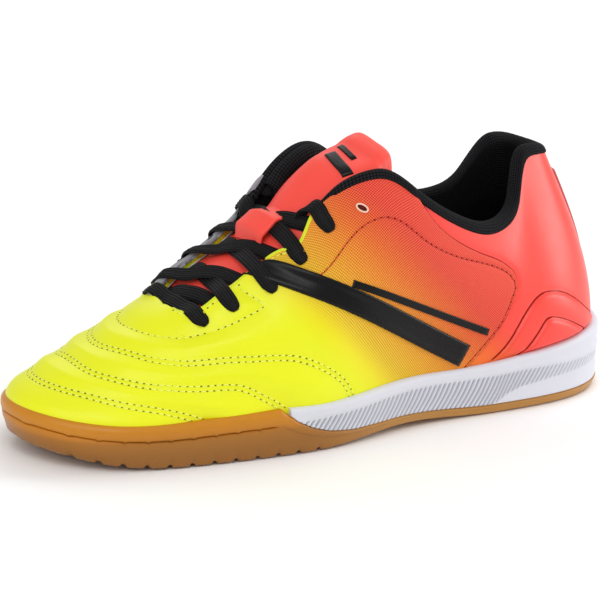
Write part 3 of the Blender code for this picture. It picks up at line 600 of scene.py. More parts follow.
def shade(look, base, amount=0.06, scale=60.0):
    """Slow change of depth in a colour."""
    n = look.noise(scale, 2.0)
    v = look.math("MULTIPLY_ADD", n, 2 * amount, 1.0 - amount)
    h = look.node("ShaderNodeHueSaturation", {"Color": linear(base) if isinstance(base, str) else base, "Value": v})
    return h.outputs[0]


YELLOW = "E9EE05"


def fade_value(look):
    """0 in the yellow of the toe to 1 in the coral of the heel: a straight fade up and back."""
    x, _, z = look.split(look.place())
    g = look.math("MULTIPLY_ADD", x, 13.0, look.math("MULTIPLY", z, 12.65))
    return look.math("SUBTRACT", g, 0.196)


FADE = (  # place along the fade, colour
    (0.00, YELLOW), (0.11, "EBE200"), (0.25, "F0C800"), (0.42, "F3AC00"), (0.60, "F38C08"),
    (0.74, "F06C12"), (0.86, "EE5620"), (0.95, "EE4A2E"), (1.00, "F04830"),
)


def look_upper():
    m = Look("upper_print", YELLOW, 0.42, 0.42)
    g = fade_value(m)
    slow = m.math("MULTIPLY_ADD", m.noise(38.0, 2.0), 0.06, -0.03)
    base = m.ramp(m.math("ADD", g, slow, clamp=True), FADE)
    w = weave_height(m, m.uv(), 1.0)
    mask = m.math("MULTIPLY", m.step(g, 0.10, 0.30), m.math("MULTIPLY_ADD", m.step(g, 0.9, 1.25), -0.35, 1.0))
    dark = m.node("ShaderNodeHueSaturation", {"Color": base, "Value": 0.60, "Saturation": 1.04, "Hue": 0.494}).outputs[0]
    pale = m.node("ShaderNodeHueSaturation", {"Color": base, "Value": 1.06, "Saturation": 0.98, "Hue": 0.504}).outputs[0]
    woven = m.mix(m.step(w, 0.25, 0.75), dark, pale)
    m.colour(m.mix(mask, base, woven))
    m.rough(m.math("MULTIPLY_ADD", mask, 0.2, 0.4))
    fine = m.cells(1500.0)
    soft = m.noise(420.0, 3.0)
    m.bump((soft, 0.00025, 0.16), (fine, 0.0001, 0.16),
           (m.math("MULTIPLY", w, mask), 0.00022, 0.55))
    return m.mat


def look_coral(name="coral", colour="F84A3C", rough=0.34):
    m = Look(name, colour, rough, 0.45)
    m.colour(shade(m, colour, 0.03))
    m.rough(m.math("MULTIPLY_ADD", m.noise(300.0, 3.0), 0.1, rough - 0.05))
    grain(m, 0.16, 1400.0)
    return m.mat


def look_mesh_black(name="collar_mesh", pitch=1.05, colour="0B0B0C"):
    """Black spacer mesh: rows of small dimples."""
    m = Look(name, colour, 0.85, 0.15)
    x, y = m.split(m.uv())[0], m.split(m.uv())[1]
    k = math.pi / pitch
    a = m.math("SINE", m.math("MULTIPLY", m.math("ADD", x, y), k))
    b = m.math("SINE", m.math("MULTIPLY", m.math("SUBTRACT", x, y), k))
    h = m.math("MULTIPLY_ADD", m.math("MULTIPLY", a, b), 0.5, 0.5)
    fuzz = m.noise(2600.0, 2.0)
    # painted shade in the dimples (020203) and painted highlight on the ridges between them (222225)
    m.colour(m.mix(m.step(h, 0.2, 0.9), "020203", "222225"))
    m.bump((fuzz, 0.00012, 0.35), (h, 0.00035, 0.9))
    return m.mat


def look_cloth(name, colour, rough=0.85, per_mm=1.4, depth=0.00018):
    m = Look(name, colour, rough, 0.25, sheen=0.2)
    w = weave_height(m, m.uv(), per_mm)
    m.colour(shade(m, colour, 0.08, 160.0))
    m.bump((m.noise(1800.0, 2.0), 0.0001, 0.3), (w, depth, 0.6))
    return m.mat


def look_lace():
    """Flat tubular braid: long ribs with a fine slanted knit in each."""
    m = Look("lace_braid", "0C0C0D", 0.6, 0.2)
    x, y = m.split(m.uv())[0], m.split(m.uv())[1]      # x along, y across, in millimetres
    v = m.math("ABSOLUTE", m.math("SINE", m.math("MULTIPLY", y, math.pi / 1.0)))
    a = m.math("SINE", m.math("MULTIPLY_ADD", v, 2.6, m.math("MULTIPLY", x, 2 * math.pi / 0.95)))
    knit = m.math("MULTIPLY_ADD", a, 0.5, 0.5)
    ribs = m.math("SUBTRACT", 1.0, v)
    # painted highlight on the rib crests and knit tops (1D1D20), painted shade in the grooves between ribs (030304)
    m.colour(m.mix(m.math("MULTIPLY", m.step(ribs, 0.1, 0.9), m.math("MULTIPLY_ADD", knit, 0.5, 0.5)), "030304", "1D1D20"))
    m.bump((m.noise(2400.0, 2.0), 0.0001, 0.3), (knit, 0.00012, 0.5), (ribs, 0.0002, 0.5))
    return m.mat


def look_gum():
    m = Look("gum_rubber", "B06E22", 0.36, 0.4, subsurface=0.1, radius=(1.0, 0.45, 0.12))
    x, y, z = m.split(m.place())
    # painted shade and light: the side is painted darker towards the bottom, shade on the lower rubber, and lighter up
    # to the lip; the thin rubber at the heel is painted lighter (B9843C), painted light where it faces down into shade
    h = m.step(z, 0.004, 0.0175)
    base = m.ramp(h, ((0.0, "94601F"), (0.45, "A66A1C"), (0.58, "BC7612"), (1.0, "CC840A")))
    m.colour(m.mix(m.math("MULTIPLY", m.noise(220.0, 4.0), 0.18), m.mix(m.step(x, -0.03, 0.02), base, "B9843C"), "96601C"))
    m.rough(m.math("MULTIPLY_ADD", m.noise(500.0, 3.0), 0.14, 0.3))
    m.bump((m.noise(900.0, 3.0), 0.00012, 0.18))
    return m.mat


def look_foam():
    m = Look("midsole_foam", "D9DAE2", 0.5, 0.4, subsurface=0.15, radius=(0.6, 0.6, 0.7))
    # painted shade: the painted_shade attribute darkens the foam towards 989AA8 in the rib valleys
    deep = m.node("ShaderNodeAttribute", attribute_name="painted_shade").outputs["Fac"]
    m.colour(m.mix(m.math("MULTIPLY", deep, 0.8), shade(m, "D6D7DF", 0.03, 90.0), "989AA8"))
    m.rough(m.math("MULTIPLY_ADD", m.noise(700.0, 3.0), 0.12, 0.45))
    m.bump((m.cells(2200.0), 0.00008, 0.14))
    return m.mat


def look_gloss_black():
    m = Look("black_film", "060607", 0.24, 0.22)
    m.colour(m.mix(m.noise(60.0, 2.0), "020202", "060607"))
    m.rough(m.math("MULTIPLY_ADD", m.noise(420.0, 3.0), 0.12, 0.22))
    m.bump((m.noise(1300.0, 3.0), 0.00012, 0.2))
    return m.mat


def look_thread(name, colour):
    m = Look(name, colour, 0.6, 0.35, sheen=0.2)
    m.colour(shade(m, colour, 0.1, 900.0))
    m.bump((m.noise(3200.0, 2.0, stretch=(1.0, 1.0, 3.0)), 0.0001, 0.6))
    return m.mat


# Dark matte colour for painted shade: needle holes, eyelet holes and seam crevices.
def look_painted_shade(name="needle_hole_shade", colour="101008"):
    m = Look(name, colour, 0.9, 0.1)
    m.colour(shade(m, colour, 0.2, 800.0))
    return m.mat


# -------------------------------------------------------------------- meshes
def weld(v, faces, tol=0.004):
    """Joins equal points; returns points, faces and the map from old to new."""
    key = np.round(v / tol).astype(np.int64)
    _, first, back = np.unique(key, axis=0, return_index=True, return_inverse=True)
    back = back.reshape(-1)
    return v[first], back[faces], first


def grid_faces(n, m, wrap_n=False, wrap_m=False):
    i = np.arange(n if wrap_n else n - 1)
    j = np.arange(m if wrap_m else m - 1)
    a, b = np.meshgrid(i, j, indexing="ij")
    a2, b2 = (a + 1) % n, (b + 1) % m
    return np.stack([a * m + b, a2 * m + b, a2 * m + b2, a * m + b2], -1).reshape(-1, 4)


def rim_edges(faces, count):
    """Directed edges that only one face has."""
    e = np.concatenate([faces[:, [k, (k + 1) % 4]] for k in range(4)])
    e = e[e[:, 0] != e[:, 1]]
    k, r = e[:, 0] * count + e[:, 1], e[:, 1] * count + e[:, 0]
    return e[~np.isin(k, r)]


def thicken(v, faces, below):
    """Closed solid from a sheet and the matching points under it."""
    n = len(v)
    rim = rim_edges(faces, n)
    sides = np.stack([rim[:, 1], rim[:, 0], rim[:, 0] + n, rim[:, 1] + n], -1)
    return np.vstack([v, below]), np.vstack([faces, faces[:, ::-1] + n, sides])


def add_piece(name, v, faces, mat, uv=None, smooth=True, angle=None, painted_shade=None):
    """Object from shoe millimetres; quads with a repeated point become triangles."""
    p = shoe_to_frame(v)
    out, keep = [], []
    f = np.asarray(faces)
    for k, q in enumerate(f.tolist()):
        r = [q[0]]
        for i in q[1:]:
            if i != r[-1]:
                r.append(i)
        if r[0] == r[-1]:
            r.pop()
        if len(set(r)) >= 3:
            out.append(r)
            keep.append(k)
    tri = np.array([[r[0], r[1], r[2]] for r in out])
    tri2 = np.array([[r[0], r[2], r[3]] for r in out if len(r) == 4])
    vol = sum(np.einsum("ij,ij->i", p[t[:, 0]], np.cross(p[t[:, 1]], p[t[:, 2]])).sum() for t in (tri, tri2) if len(t))
    if vol < 0:
        out = [r[::-1] for r in out]
    me = bpy.data.meshes.new(name)
    me.from_pydata(p.tolist(), [], out)
    me.update()
    if uv is not None:
        layer = me.uv_layers.new(name="flat")
        vi = np.empty(len(me.loops), np.int32)
        me.loops.foreach_get("vertex_index", vi)
        layer.data.foreach_set("uv", np.asarray(uv, np.float32)[vi].ravel())
    if smooth:
        me.shade_smooth()
        if angle:
            me.set_sharp_from_angle(angle=math.radians(angle))
    me.materials.append(mat)
    # painted shade, carried per point as a colour attribute
    if painted_shade is not None:
        layer = me.color_attributes.new(name="painted_shade", type="FLOAT_COLOR", domain="POINT")
        rgba = np.ones((len(p), 4), np.float32)
        rgba[:, :3] = np.asarray(painted_shade, np.float32)[:, None]
        layer.data.foreach_set("color", rgba.ravel())
    ob = bpy.data.objects.new(name, me)
    bpy.context.scene.collection.objects.link(ob)
    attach(ob, "root")
    return ob


class Cloud:
    """Points with normals, onto which curves and strips are laid."""

    def __init__(self, p, n):
        self.p, self.n = np.asarray(p, float), np.asarray(n, float)
        self.kd = KDTree(len(self.p))
        for i, q in enumerate(self.p):
            self.kd.insert(q, i)
        self.kd.balance()

    def near(self, q):
        q = np.asarray(q, float).reshape(-1, 3)
        return np.array([self.kd.find(x)[1] for x in q]), q

    def drape(self, q, lift=0.0):
        """Moves points onto the surface, then up by lift; returns points and normals."""
        shape = np.shape(q)
        i, q = self.near(q)
        k = 4
        near = [self.kd.find_n(x, k) for x in q]
        p, n = np.empty_like(q), np.empty_like(q)
        for j, hits in enumerate(near):
            ids = [h[1] for h in hits]
            wgt = np.array([1.0 / (h[2] + 0.05) ** 2 for h in hits])
            wgt /= wgt.sum()
            nn = (self.n[ids] * wgt[:, None]).sum(0)
            nn /= np.linalg.norm(nn)
            base = (self.p[ids] * wgt[:, None]).sum(0)
            p[j] = q[j] - np.dot(q[j] - base, nn) * nn
            n[j] = nn
        lift = np.broadcast_to(lift, shape[:-1]).reshape(-1)
        p = p + lift[:, None] * n
        return p.reshape(shape), n.reshape(shape)


def distance(points, curves):
    """Distance from each point to the nearest point of the curves."""
    q = np.vstack(curves)
    kd = KDTree(len(q))
    for i, x in enumerate(q):
        kd.insert(x, i)
    kd.balance()
    return np.array([kd.find(x)[2] for x in np.asarray(points)])


def polyline(knots, step=0.4):
    """Smooth curve through 3-D knots with even steps."""
    k = np.asarray(knots, float)
    s = np.r_[0.0, np.cumsum(np.linalg.norm(np.diff(k, axis=0), axis=1))]
    f = natural_spline(s, k)
    fine = f(np.linspace(0, s[-1], max(int(s[-1] / 0.1), 8)))
    l = np.r_[0.0, np.cumsum(np.linalg.norm(np.diff(fine, axis=0), axis=1))]
    n = max(int(round(l[-1] / step)), 2)
    t = np.linspace(0, l[-1], n + 1)
    return np.stack([np.interp(t, l, fine[:, i]) for i in range(3)], -1)


def tangents(c):
    t = np.gradient(c, axis=0)
    return t / np.linalg.norm(t, axis=1)[:, None]


def beside(cloud, curve, offset):
    """A curve at a side distance on the surface, towards the sole where offset is positive."""
    p, n = cloud.drape(curve)
    b = np.cross(n, tangents(p))
    b /= np.linalg.norm(b, axis=1)[:, None]
    b *= np.sign(-(b[:, 2:3]).sum() or 1.0)
    return cloud.drape(p + b * offset)[0]


def relax(a, times):
    """Even out a grid of points or directions along the strip."""
    a = a.copy()
    for _ in range(times):
        a[1:-1] = 0.25 * a[:-2] + 0.5 * a[1:-1] + 0.25 * a[2:]
    return a


def strip_on(cloud, curve, half_width, rise, base=0.05, cells=14, bottom=-0.5, calm=0):
    """Closed raised strip along a curve. half_width(f) in mm and rise(x) with x from -1 to 1 across."""
    p, n = cloud.drape(curve)
    t = tangents(p)
    b = np.cross(n, t)
    b /= np.linalg.norm(b, axis=1)[:, None]
    x = np.concatenate([[-1, -0.985, -0.955, -0.91, -0.85], np.linspace(-0.7, 0.7, cells), [0.85, 0.91, 0.955, 0.985, 1]])
    f = np.linspace(0, 1, len(p))
    hw = np.array([half_width(k) for k in f])
    q = p[:, None, :] + b[:, None, :] * (hw[:, None] * x[None, :])[..., None]
    flat = q.reshape(-1, 3)
    hits = [cloud.kd.find(z) for z in flat]
    far = np.array([z[2] for z in hits]) > 1.1
    flat[far] = cloud.p[[z[1] for z, k in zip(hits, far) if k]]
    q, nn = cloud.drape(flat.reshape(q.shape))
    if calm:
        q, nn = relax(q, calm), relax(nn, calm * 2)
        nn /= np.linalg.norm(nn, axis=-1, keepdims=True)
    end = np.minimum(f, 1 - f) * len(p)
    cap = np.sqrt(np.clip(end / 3.0, 0, 1))
    h = base + rise(x)[None, :] * cap[:, None]
    top = q + h[..., None] * nn
    low = q + bottom * nn
    v, fc = thicken(top.reshape(-1, 3), grid_faces(len(p), len(x)), low.reshape(-1, 3))
    uv = np.stack(np.broadcast_arrays((f * np.linalg.norm(np.diff(p, axis=0), axis=1).sum())[:, None], hw[:, None] * x[None, :]), -1).reshape(-1, 2)
    return v, fc, np.vstack([uv, uv])


def capsules(centres, directions, normals, length, radius, sides=7, flat=0.8):
    """Joined small rounded rods, one for each centre."""
    prof = [(-1.0, 0.0), (-0.93, 0.55), (-0.72, 0.9), (0.0, 1.0), (0.72, 0.9), (0.93, 0.55), (1.0, 0.0)]
    vs, fs = [], []
    a = np.linspace(0, 2 * math.pi, sides, endpoint=False)
    for c, d, n in zip(centres, directions, normals):
        s = np.cross(n, d)
        s = s / np.linalg.norm(s)
        base = len(vs)
        for x, r in prof[1:-1]:
            for k in a:
                vs.append(c + d * x * length / 2 + (s * math.cos(k) + n * math.sin(k) * flat) * r * radius)
        rings = len(prof) - 2
        first, last = len(vs), len(vs) + 1
        vs.append(c - d * length / 2)
        vs.append(c + d * length / 2)
        for r in range(rings - 1):
            for k in range(sides):
                k2 = (k + 1) % sides
                fs.append([base + r * sides + k, base + r * sides + k2, base + (r + 1) * sides + k2, base + (r + 1) * sides + k])
        for k in range(sides):
            k2 = (k + 1) % sides
            fs.append([first, base + k2, base + k, base + k])
            fs.append([last, base + (rings - 1) * sides + k, base + (rings - 1) * sides + k2, base + (rings - 1) * sides + k2])
    return np.array(vs), np.array(fs)


# ------------------------------------------------------------ seams and rows
# round: -1 outer toe .. 0 heel .. 1 inner toe; up: 0 at the sole .. 1 at the crown
SEAM = (  # up, round: back edge of the quarter
    (0.00, 0.352), (0.16, 0.326), (0.27, 0.303), (0.37, 0.281), (0.49, 0.258), (0.54, 0.249),
    (0.60, 0.244), (0.66, 0.247), (0.72, 0.260), (0.77, 0.276), (0.81, 0.297), (0.835, 0.320),
    (0.86, 0.352), (0.89, 0.386), (0.93, 0.412), (1.00, 0.438),
)
ROW_1 = ((0.725, 0.17), (0.785, 0.28), (0.839, 0.36), (0.879, 0.45), (0.942, 0.56))
ROW_2 = ((0.610, 0.10), (0.623, 0.16), (0.655, 0.25), (0.680, 0.31), (0.720, 0.355), (0.768, 0.41),
         (0.807, 0.47), (0.845, 0.57), (0.886, 0.72), (0.925, 0.87))
ROW_3 = ((0.516, 0.07), (0.533, 0.17), (0.553, 0.24), (0.581, 0.32), (0.602, 0.37), (0.658, 0.43),
         (0.704, 0.475), (0.747, 0.54), (0.791, 0.64), (0.826, 0.78), (0.855, 0.92))
ROW_4 = ((0.667, 0.80), (0.652, 0.71), (0.645, 0.665), (0.658, 0.64), (0.684, 0.62), (0.716, 0.635),
         (0.741, 0.68), (0.773, 0.77), (0.795, 0.89))
STAY = ((0.626, 0.89), (0.609, 0.78), (0.589, 0.695), (0.567, 0.675), (0.545, 0.70), (0.527, 0.74),
        (0.503, 0.78), (0.480, 0.795), (0.461, 0.80), (0.430, 0.79), (0.386, 0.78), (0.341, 0.775),
        (0.304, 0.765), (0.281, 0.73), (0.263, 0.68), (0.252, 0.62), (0.250, 0.58), (0.255, 0.54),
        (0.281, 0.39), (0.313, 0.25), (0.340, 0.12))
ARC_1 = ((0.315, 0.06), (0.293, 0.16), (0.275, 0.22), (0.244, 0.36), (0.220, 0.43), (0.197, 0.445),
         (0.178, 0.42), (0.160, 0.385), (0.135, 0.32), (0.096, 0.22), (0.05, 0.15), (0.0, 0.12))
ARC_2 = ((0.275, 0.06), (0.254, 0.15), (0.235, 0.21), (0.211, 0.29), (0.200, 0.312), (0.188, 0.30),
         (0.168, 0.26), (0.146, 0.21), (0.116, 0.15), (0.06, 0.08), (0.0, 0.04))


def on_form(side, rows):
    r = np.asarray(rows, float)
    return last_surface(wrap(side * r[:, 0]), r[:, 1])


def across_toe(rows):
    """The row on the outer side carried over the toe to the inner side."""
    return polyline(np.vstack([on_form(-1, rows), on_form(1, rows)[::-1]]))


seam_at = natural_spline([r[0] for r in SEAM], [r[1] for r in SEAM])

# ------------------------------------------------------- quarter and vamp
NOTCH = (  # round, share of the height: the edge steps down between two eyelets
    (0.555, 1.0), (0.566, 0.995), (0.571, 0.975), (0.577, 0.948), (0.582, 0.926), (0.587, 0.916), (0.594, 0.928),
    (0.602, 0.955), (0.611, 0.985), (0.622, 1.0),
)


def edge_t(w):
    return np.interp(np.abs(w), [r[0] for r in NOTCH], [r[1] for r in NOTCH])


UP = np.concatenate([np.linspace(0.03, 0.965, 72), [0.975, 0.983, 0.989, 0.9935, 0.997, 1.0]])


def quarter_grid():
    start = np.array([0.0, 0.15, 0.4, 0.75, 1.2, 1.8]) / 93.0
    a = np.concatenate([start, np.linspace(start[-1], 1, 88)[1:]])
    s0 = seam_at(UP)
    va = s0[None, :] + (0.60 - s0)[None, :] * a[:, None]
    vb = np.concatenate([np.linspace(0.60, 0.70, 29)[1:], np.linspace(0.70, 0.74, 15)[1:-1], [0.739, 0.7397, 0.74],
                         np.linspace(0.74, 1.0, 72)[1:]])
    v = np.vstack([va, np.broadcast_to(vb[:, None], (len(vb), len(UP)))])
    return v, UP[None, :] * edge_t(v)


def flat_map(w, t):
    """Millimetres round and up, for weaves."""
    wm = (loop_length(wrap(w)) if True else w)
    tall = 62.0 + 14.0 * np.exp(-((np.abs(wrap(w)) - 0.47) / 0.12) ** 2)
    return np.stack([np.where(wrap(w) > 0, loop_length(-np.abs(wrap(w))) + 700.0, wm), t * tall], -1)


v_, t_ = quarter_grid()
W = np.concatenate([-v_, v_[::-1]], 0)
T = np.concatenate([t_, t_[::-1]], 0)
Q_P, Q_N = surface(W, T).reshape(-1, 3), surface_normal(W, T).reshape(-1, 3)
Q_F = grid_faces(*W.shape)
Q_V, Q_F, first = weld(Q_P, Q_F)
Q_N, Q_W, Q_T = Q_N[first], W.reshape(-1)[first], T.reshape(-1)[first]
base_cloud = Cloud(Q_V, Q_N)

row1 = base_cloud.drape(across_toe(ROW_1))[0]
row2 = base_cloud.drape(across_toe(ROW_2))[0]
row3 = base_cloud.drape(across_toe(ROW_3))[0]
row4 = base_cloud.drape(across_toe(ROW_4))[0]
stays = [base_cloud.drape(polyline(on_form(s, STAY)))[0] for s in (-1, 1)]
doubles = [(c, beside(base_cloud, c, 1.75)) for c in (row1, row2, row3)]
vamp_rows = [c for pair in doubles for c in pair] + [row4]
seam_lines = [polyline(surface(np.full(60, 0.0) + s * seam_at(np.linspace(0.03, 1, 60)), np.linspace(0.03, 1, 60))) for s in (-1, 1)]
rim_v = np.linspace(0.44, 0.74, 700)

rims = [surface(s * rim_v, edge_t(rim_v)) for s in (-1, 1)]


def round_over(d, r):
    """Drop of a rounded edge of radius r at distance d from it."""
    x = np.clip(1 - d / r, 0, 1)
    return r * (1 - np.sqrt(np.clip(1 - x * x, 0, 1)))


QUARTER_RISE = 0.85
d_vamp = distance(Q_V, vamp_rows)
d_stay = distance(Q_V, stays)
d_seam = distance(Q_V, seam_lines)
d_rim = distance(Q_V, rims)
v_abs = np.abs(Q_W)
front = smooth((v_abs - 0.50) / 0.08)
h = np.full(len(Q_V), QUARTER_RISE) - round_over(d_seam, 0.8)
h += front * 1.15 * (1 - np.exp(-(d_vamp / 4.4) ** 2)) * smooth(Q_T / 0.25)
h -= 0.34 * np.exp(-(d_vamp / 0.62) ** 2)
# ahead of the throat the skin lies close to the form
h -= 1.25 * smooth((v_abs - 0.735) / 0.07) * smooth((Q_T - 0.15) / 0.35)
h -= 0.30 * np.exp(-(d_stay / 0.60) ** 2)
h -= round_over(d_rim, 1.1) * 0.9
# soft creases across the ball, behind the quilting
crease = np.exp(-((v_abs - 0.585) / 0.012) ** 2) * smooth((0.62 - Q_T) / 0.3) * smooth((Q_T - 0.18) / 0.15)
h -= 0.22 * crease
# the film pressed over the stay would sit a little lower, but the term is multiplied by zero and lowers nothing
h -= 0.25 * smooth((d_stay - 0.6) / 1.2) * 0.0
Q_TOP = Q_V + h[:, None] * Q_N
Q_LOW = Q_V - 1.55 * Q_N
v, f = thicken(Q_TOP, Q_F, Q_LOW)
uv = flat_map(Q_W, Q_T)
MAT_UPPER = look_upper()
quarter = add_piece("quarter_and_vamp", v, f, MAT_UPPER, uv=np.vstack([uv, uv]))
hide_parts("upper")
top_cloud = Cloud(Q_TOP, Q_N)

# ---------------------------------------------------------------- heel panel
def heel_grid():
    t = np.linspace(0.02, 1.0, 104)
    a = np.linspace(-1, 1, 250)
    reach = seam_at(t) + 0.024
    return a[:, None] * reach[None, :], np.broadcast_to(t, (len(a), len(t)))


W, T = heel_grid()
H_V, H_N = surface(W, T).reshape(-1, 3), surface_normal(W, T).reshape(-1, 3)
hw_, ht_ = W.reshape(-1), T.reshape(-1)
h = np.zeros(len(H_V))
for rows in (ARC_1, ARC_2):
    lines = [polyline(surface(s * np.array([r[0] for r in rows]), np.array([r[1] for r in rows]))) for s in (-1, 1)]
    d = distance(H_V, lines)
    r = np.array(rows)[::-1]
    inside = ht_ < natural_spline(r[:, 0], r[:, 1])(np.clip(np.abs(hw_), 0, rows[0][0]))
    inside &= np.abs(hw_) < rows[0][0]
    foam = ground(H_V[:, 0]) + side_height(H_V[:, 0])
    h += np.where(inside, 0.95 * smooth(d / 1.5) + 0.35 * smooth(d / 6.0), 0.0) * smooth((H_V[:, 2] - foam) / 2.2)
    h -= 0.30 * np.exp(-(d / 0.5) ** 2)
d_s = distance(H_V, seam_lines)
h -= 0.25 * np.exp(-(d_s / 1.6) ** 2)
H_TOP = H_V + h[:, None] * H_N
v, f = thicken(H_TOP, grid_faces(*W.shape), H_V - 1.2 * H_N)
uv = flat_map(hw_, ht_)


def look_heel():
    m = Look("heel_skin", "F84A3C", 0.34, 0.45)
    g = fade_value(m)
    m.colour(m.mix(m.step(g, 0.9, 1.12), m.ramp(g, FADE), shade(m, "F6463A", 0.03)))
    m.rough(m.math("MULTIPLY_ADD", m.noise(300.0, 3.0), 0.1, 0.29))
    grain(m, 0.16, 1400.0)
    return m.mat


MAT_CORAL = look_heel()
heel = add_piece("heel_panel", v, f, MAT_CORAL, uv=np.vstack([uv, uv]))
heel_cloud = Cloud(H_TOP, H_N)

MAT_SEAM_SHADOW = look_painted_shade("seam_shadow", "8E1C10")


# Thin dark strips laid along the seam and the arcs: painted shade in their crevices.
def crease(name, cloud, curve, half, lift=0.0):
    v, f, uv = strip_on(cloud, curve, lambda q: half, lambda x: 0.10 * (1 - x * x), base=lift, cells=3, bottom=-0.5)
    add_piece(name, v, f, MAT_SEAM_SHADOW, uv=uv)


for s_, tag in ((-1, "outer"), (1, "inner")):
    tt_ = np.linspace(0.14, 0.955, 90)
    crease("seam_line_" + tag, heel_cloud, polyline(surface(s_ * (seam_at(tt_) - 0.0012), tt_), 0.6), 0.34, 0.02)
    for n_, rows in ((1, ARC_1), (2, ARC_2)):
        r_ = np.array([q for q in rows if q[1] > 0.12 and q[0] > 0.03])
        crease("arc_line_%d_%s" % (n_, tag), heel_cloud, polyline(surface(s_ * r_[:, 0], r_[:, 1]), 0.6), 0.28, 0.07)

# -------------------------------------------------------- collar and linings
def lip(v):
    """Width of the black edge on the outside, mm."""
    return np.interp(v, [0.0, 0.04, 0.10, 0.50, 0.545, 0.575, 0.60], [1.5, 1.7, 2.3, 2.3, 2.2, 1.5, 0.8])


def build_collar():
    v = np.concatenate([np.linspace(0, 0.60, 190)])
    w = np.concatenate([-v[::-1], v[1:]])
    n = len(w)
    top = edge_t(w)
    e = surface(w, top)
    nn = surface_normal(w, top)
    th = wall_thickness(w, top)
    tall = np.linalg.norm(surface(w, top - 0.1) - e, axis=1) / 0.1
    up = e - surface(w, top - 0.03)
    up /= np.linalg.norm(up, axis=1)[:, None]
    rows = []
    rise = np.where(np.abs(w) > 0.43, QUARTER_RISE, 0.0)
    rise = QUARTER_RISE * smooth((np.abs(w) - 0.425) / 0.02)
    for k, extra in ((1.0, 0.0), (0.97, 0.32), (0.9, 0.5), (0.75, 0.6), (0.5, 0.62), (0.25, 0.6)):
        t = top - lip(np.abs(w)) * k / tall
        rows.append(surface(w, t) + (rise * 0.9 + extra)[:, None] * surface_normal(w, t))
    c = e - (0.5 * th)[:, None] * nn
    for a in np.linspace(0.0, math.pi, 15):
        half = 0.5 * th + np.where(math.cos(a) > 0, 0.55 + 0.9 * rise * max(math.cos(a), 0), 0.25)
        tall_r = 0.5 * th + 0.5
        rows.append(c + (math.cos(a) * half)[:, None] * nn + (math.sin(a) * tall_r * 0.8)[:, None] * up)
    t0 = t_at_height(w, floor_z(feather(w)[:, 0]) + FLANGE + INSOLE_THICK - 2.0)
    for x in np.linspace(0.02, 1, 34):
        t = top - (top - t0) * x
        rows.append(inner_surface(w, t) - 0.25 * surface_normal(w, t))
    count = len(rows)
    for x in np.linspace(1, 0.06, 12):
        t = top - (top - t0) * x
        rows.append(surface(w, t) - 1.35 * surface_normal(w, t))
    g = np.stack(rows, 1)
    m = g.shape[1]
    f = grid_faces(n, m, wrap_m=True)
    ends = []
    for k in (0, n - 1):
        ring = k * m + np.arange(m)
        j = 0
        lo, hi = 0, m - 1
        while hi - lo > 2:
            ends.append([ring[lo], ring[lo + 1], ring[hi - 1], ring[hi]])
            lo, hi = lo + 1, hi - 1
        ends.append([ring[lo], ring[lo + 1], ring[hi], ring[hi]])
    down = np.zeros((n, m))
    down[:, 1:] = np.cumsum(np.linalg.norm(np.diff(g, axis=1), axis=2), axis=1)
    along = loop_length(w)
    along = np.where(w > 0, loop_length(-np.abs(w)) * -1.0, along)
    uvs = np.stack(np.broadcast_arrays(along[:, None], down), -1).reshape(-1, 2)
    e1 = np.array(ends)
    half = len(ends) // 2
    e1[:half] = e1[:half][:, ::-1]
    return g.reshape(-1, 3), np.vstack([f, e1]), uvs


v, f, uv = build_collar()
MAT_MESH = look_mesh_black()
collar = add_piece("collar_lining", v, f, MAT_MESH, uv=uv)


def build_roll(side):
    """Padded roll of the lining inside the front end of the collar."""
    v = np.linspace(0.425, 0.556, 120)
    w = side * v
    e, out = surface(w, edge_t(w)), surface_normal(w, edge_t(w))
    fat = (0.3 + 3.1 * smooth((v - 0.42) / 0.07)) * (1 + 0.16 * np.exp(-((v - 0.545) / 0.009) ** 2))
    length = np.r_[0.0, np.cumsum(np.linalg.norm(np.diff(e, axis=0), axis=1))]
    end = np.minimum(length, length[-1] - length)
    fat = fat * np.sqrt(np.clip(1 - (1 - np.clip(end / 2.6, 0, 1)) ** 2, 0.004, 1))
    c = e - (fat + 0.5)[:, None] * out - np.stack([0 * v, 0 * v, 0.5 * fat], 1)
    t = tangents(c)
    b = np.cross(out, t)
    b /= np.linalg.norm(b, axis=1)[:, None]
    a = np.linspace(0, 2 * math.pi, 36, endpoint=False)
    fold = 1 + 0.02 * np.sin(length * 2.1)[:, None] * np.cos(a)[None]
    g = c[:, None] + (fat[:, None] * np.cos(a) * fold)[..., None] * out[:, None] + (1.1 * fat[:, None] * np.sin(a) * fold)[..., None] * b[:, None]
    uv = np.stack(np.broadcast_arrays(length[:, None], 3.2 * a[None]), -1).reshape(-1, 2)
    n, m = len(v), len(a)
    f = grid_faces(n, m, wrap_m=True)
    pts = np.vstack([g.reshape(-1, 3), g[:1].mean(1), g[-1:].mean(1)])
    caps = [[n * m, (k + 1) % m, k, k] for k in range(m)] + [[n * m + 1, (n - 1) * m + k, (n - 1) * m + (k + 1) % m, (n - 1) * m + (k + 1) % m] for k in range(m)]
    return pts, np.vstack([f, np.array(caps)]), np.vstack([uv, uv[:1], uv[-1:]])


v, f, uv = build_roll(1)
roll = add_piece("collar_roll_inner", v, f, MAT_MESH, uv=uv)


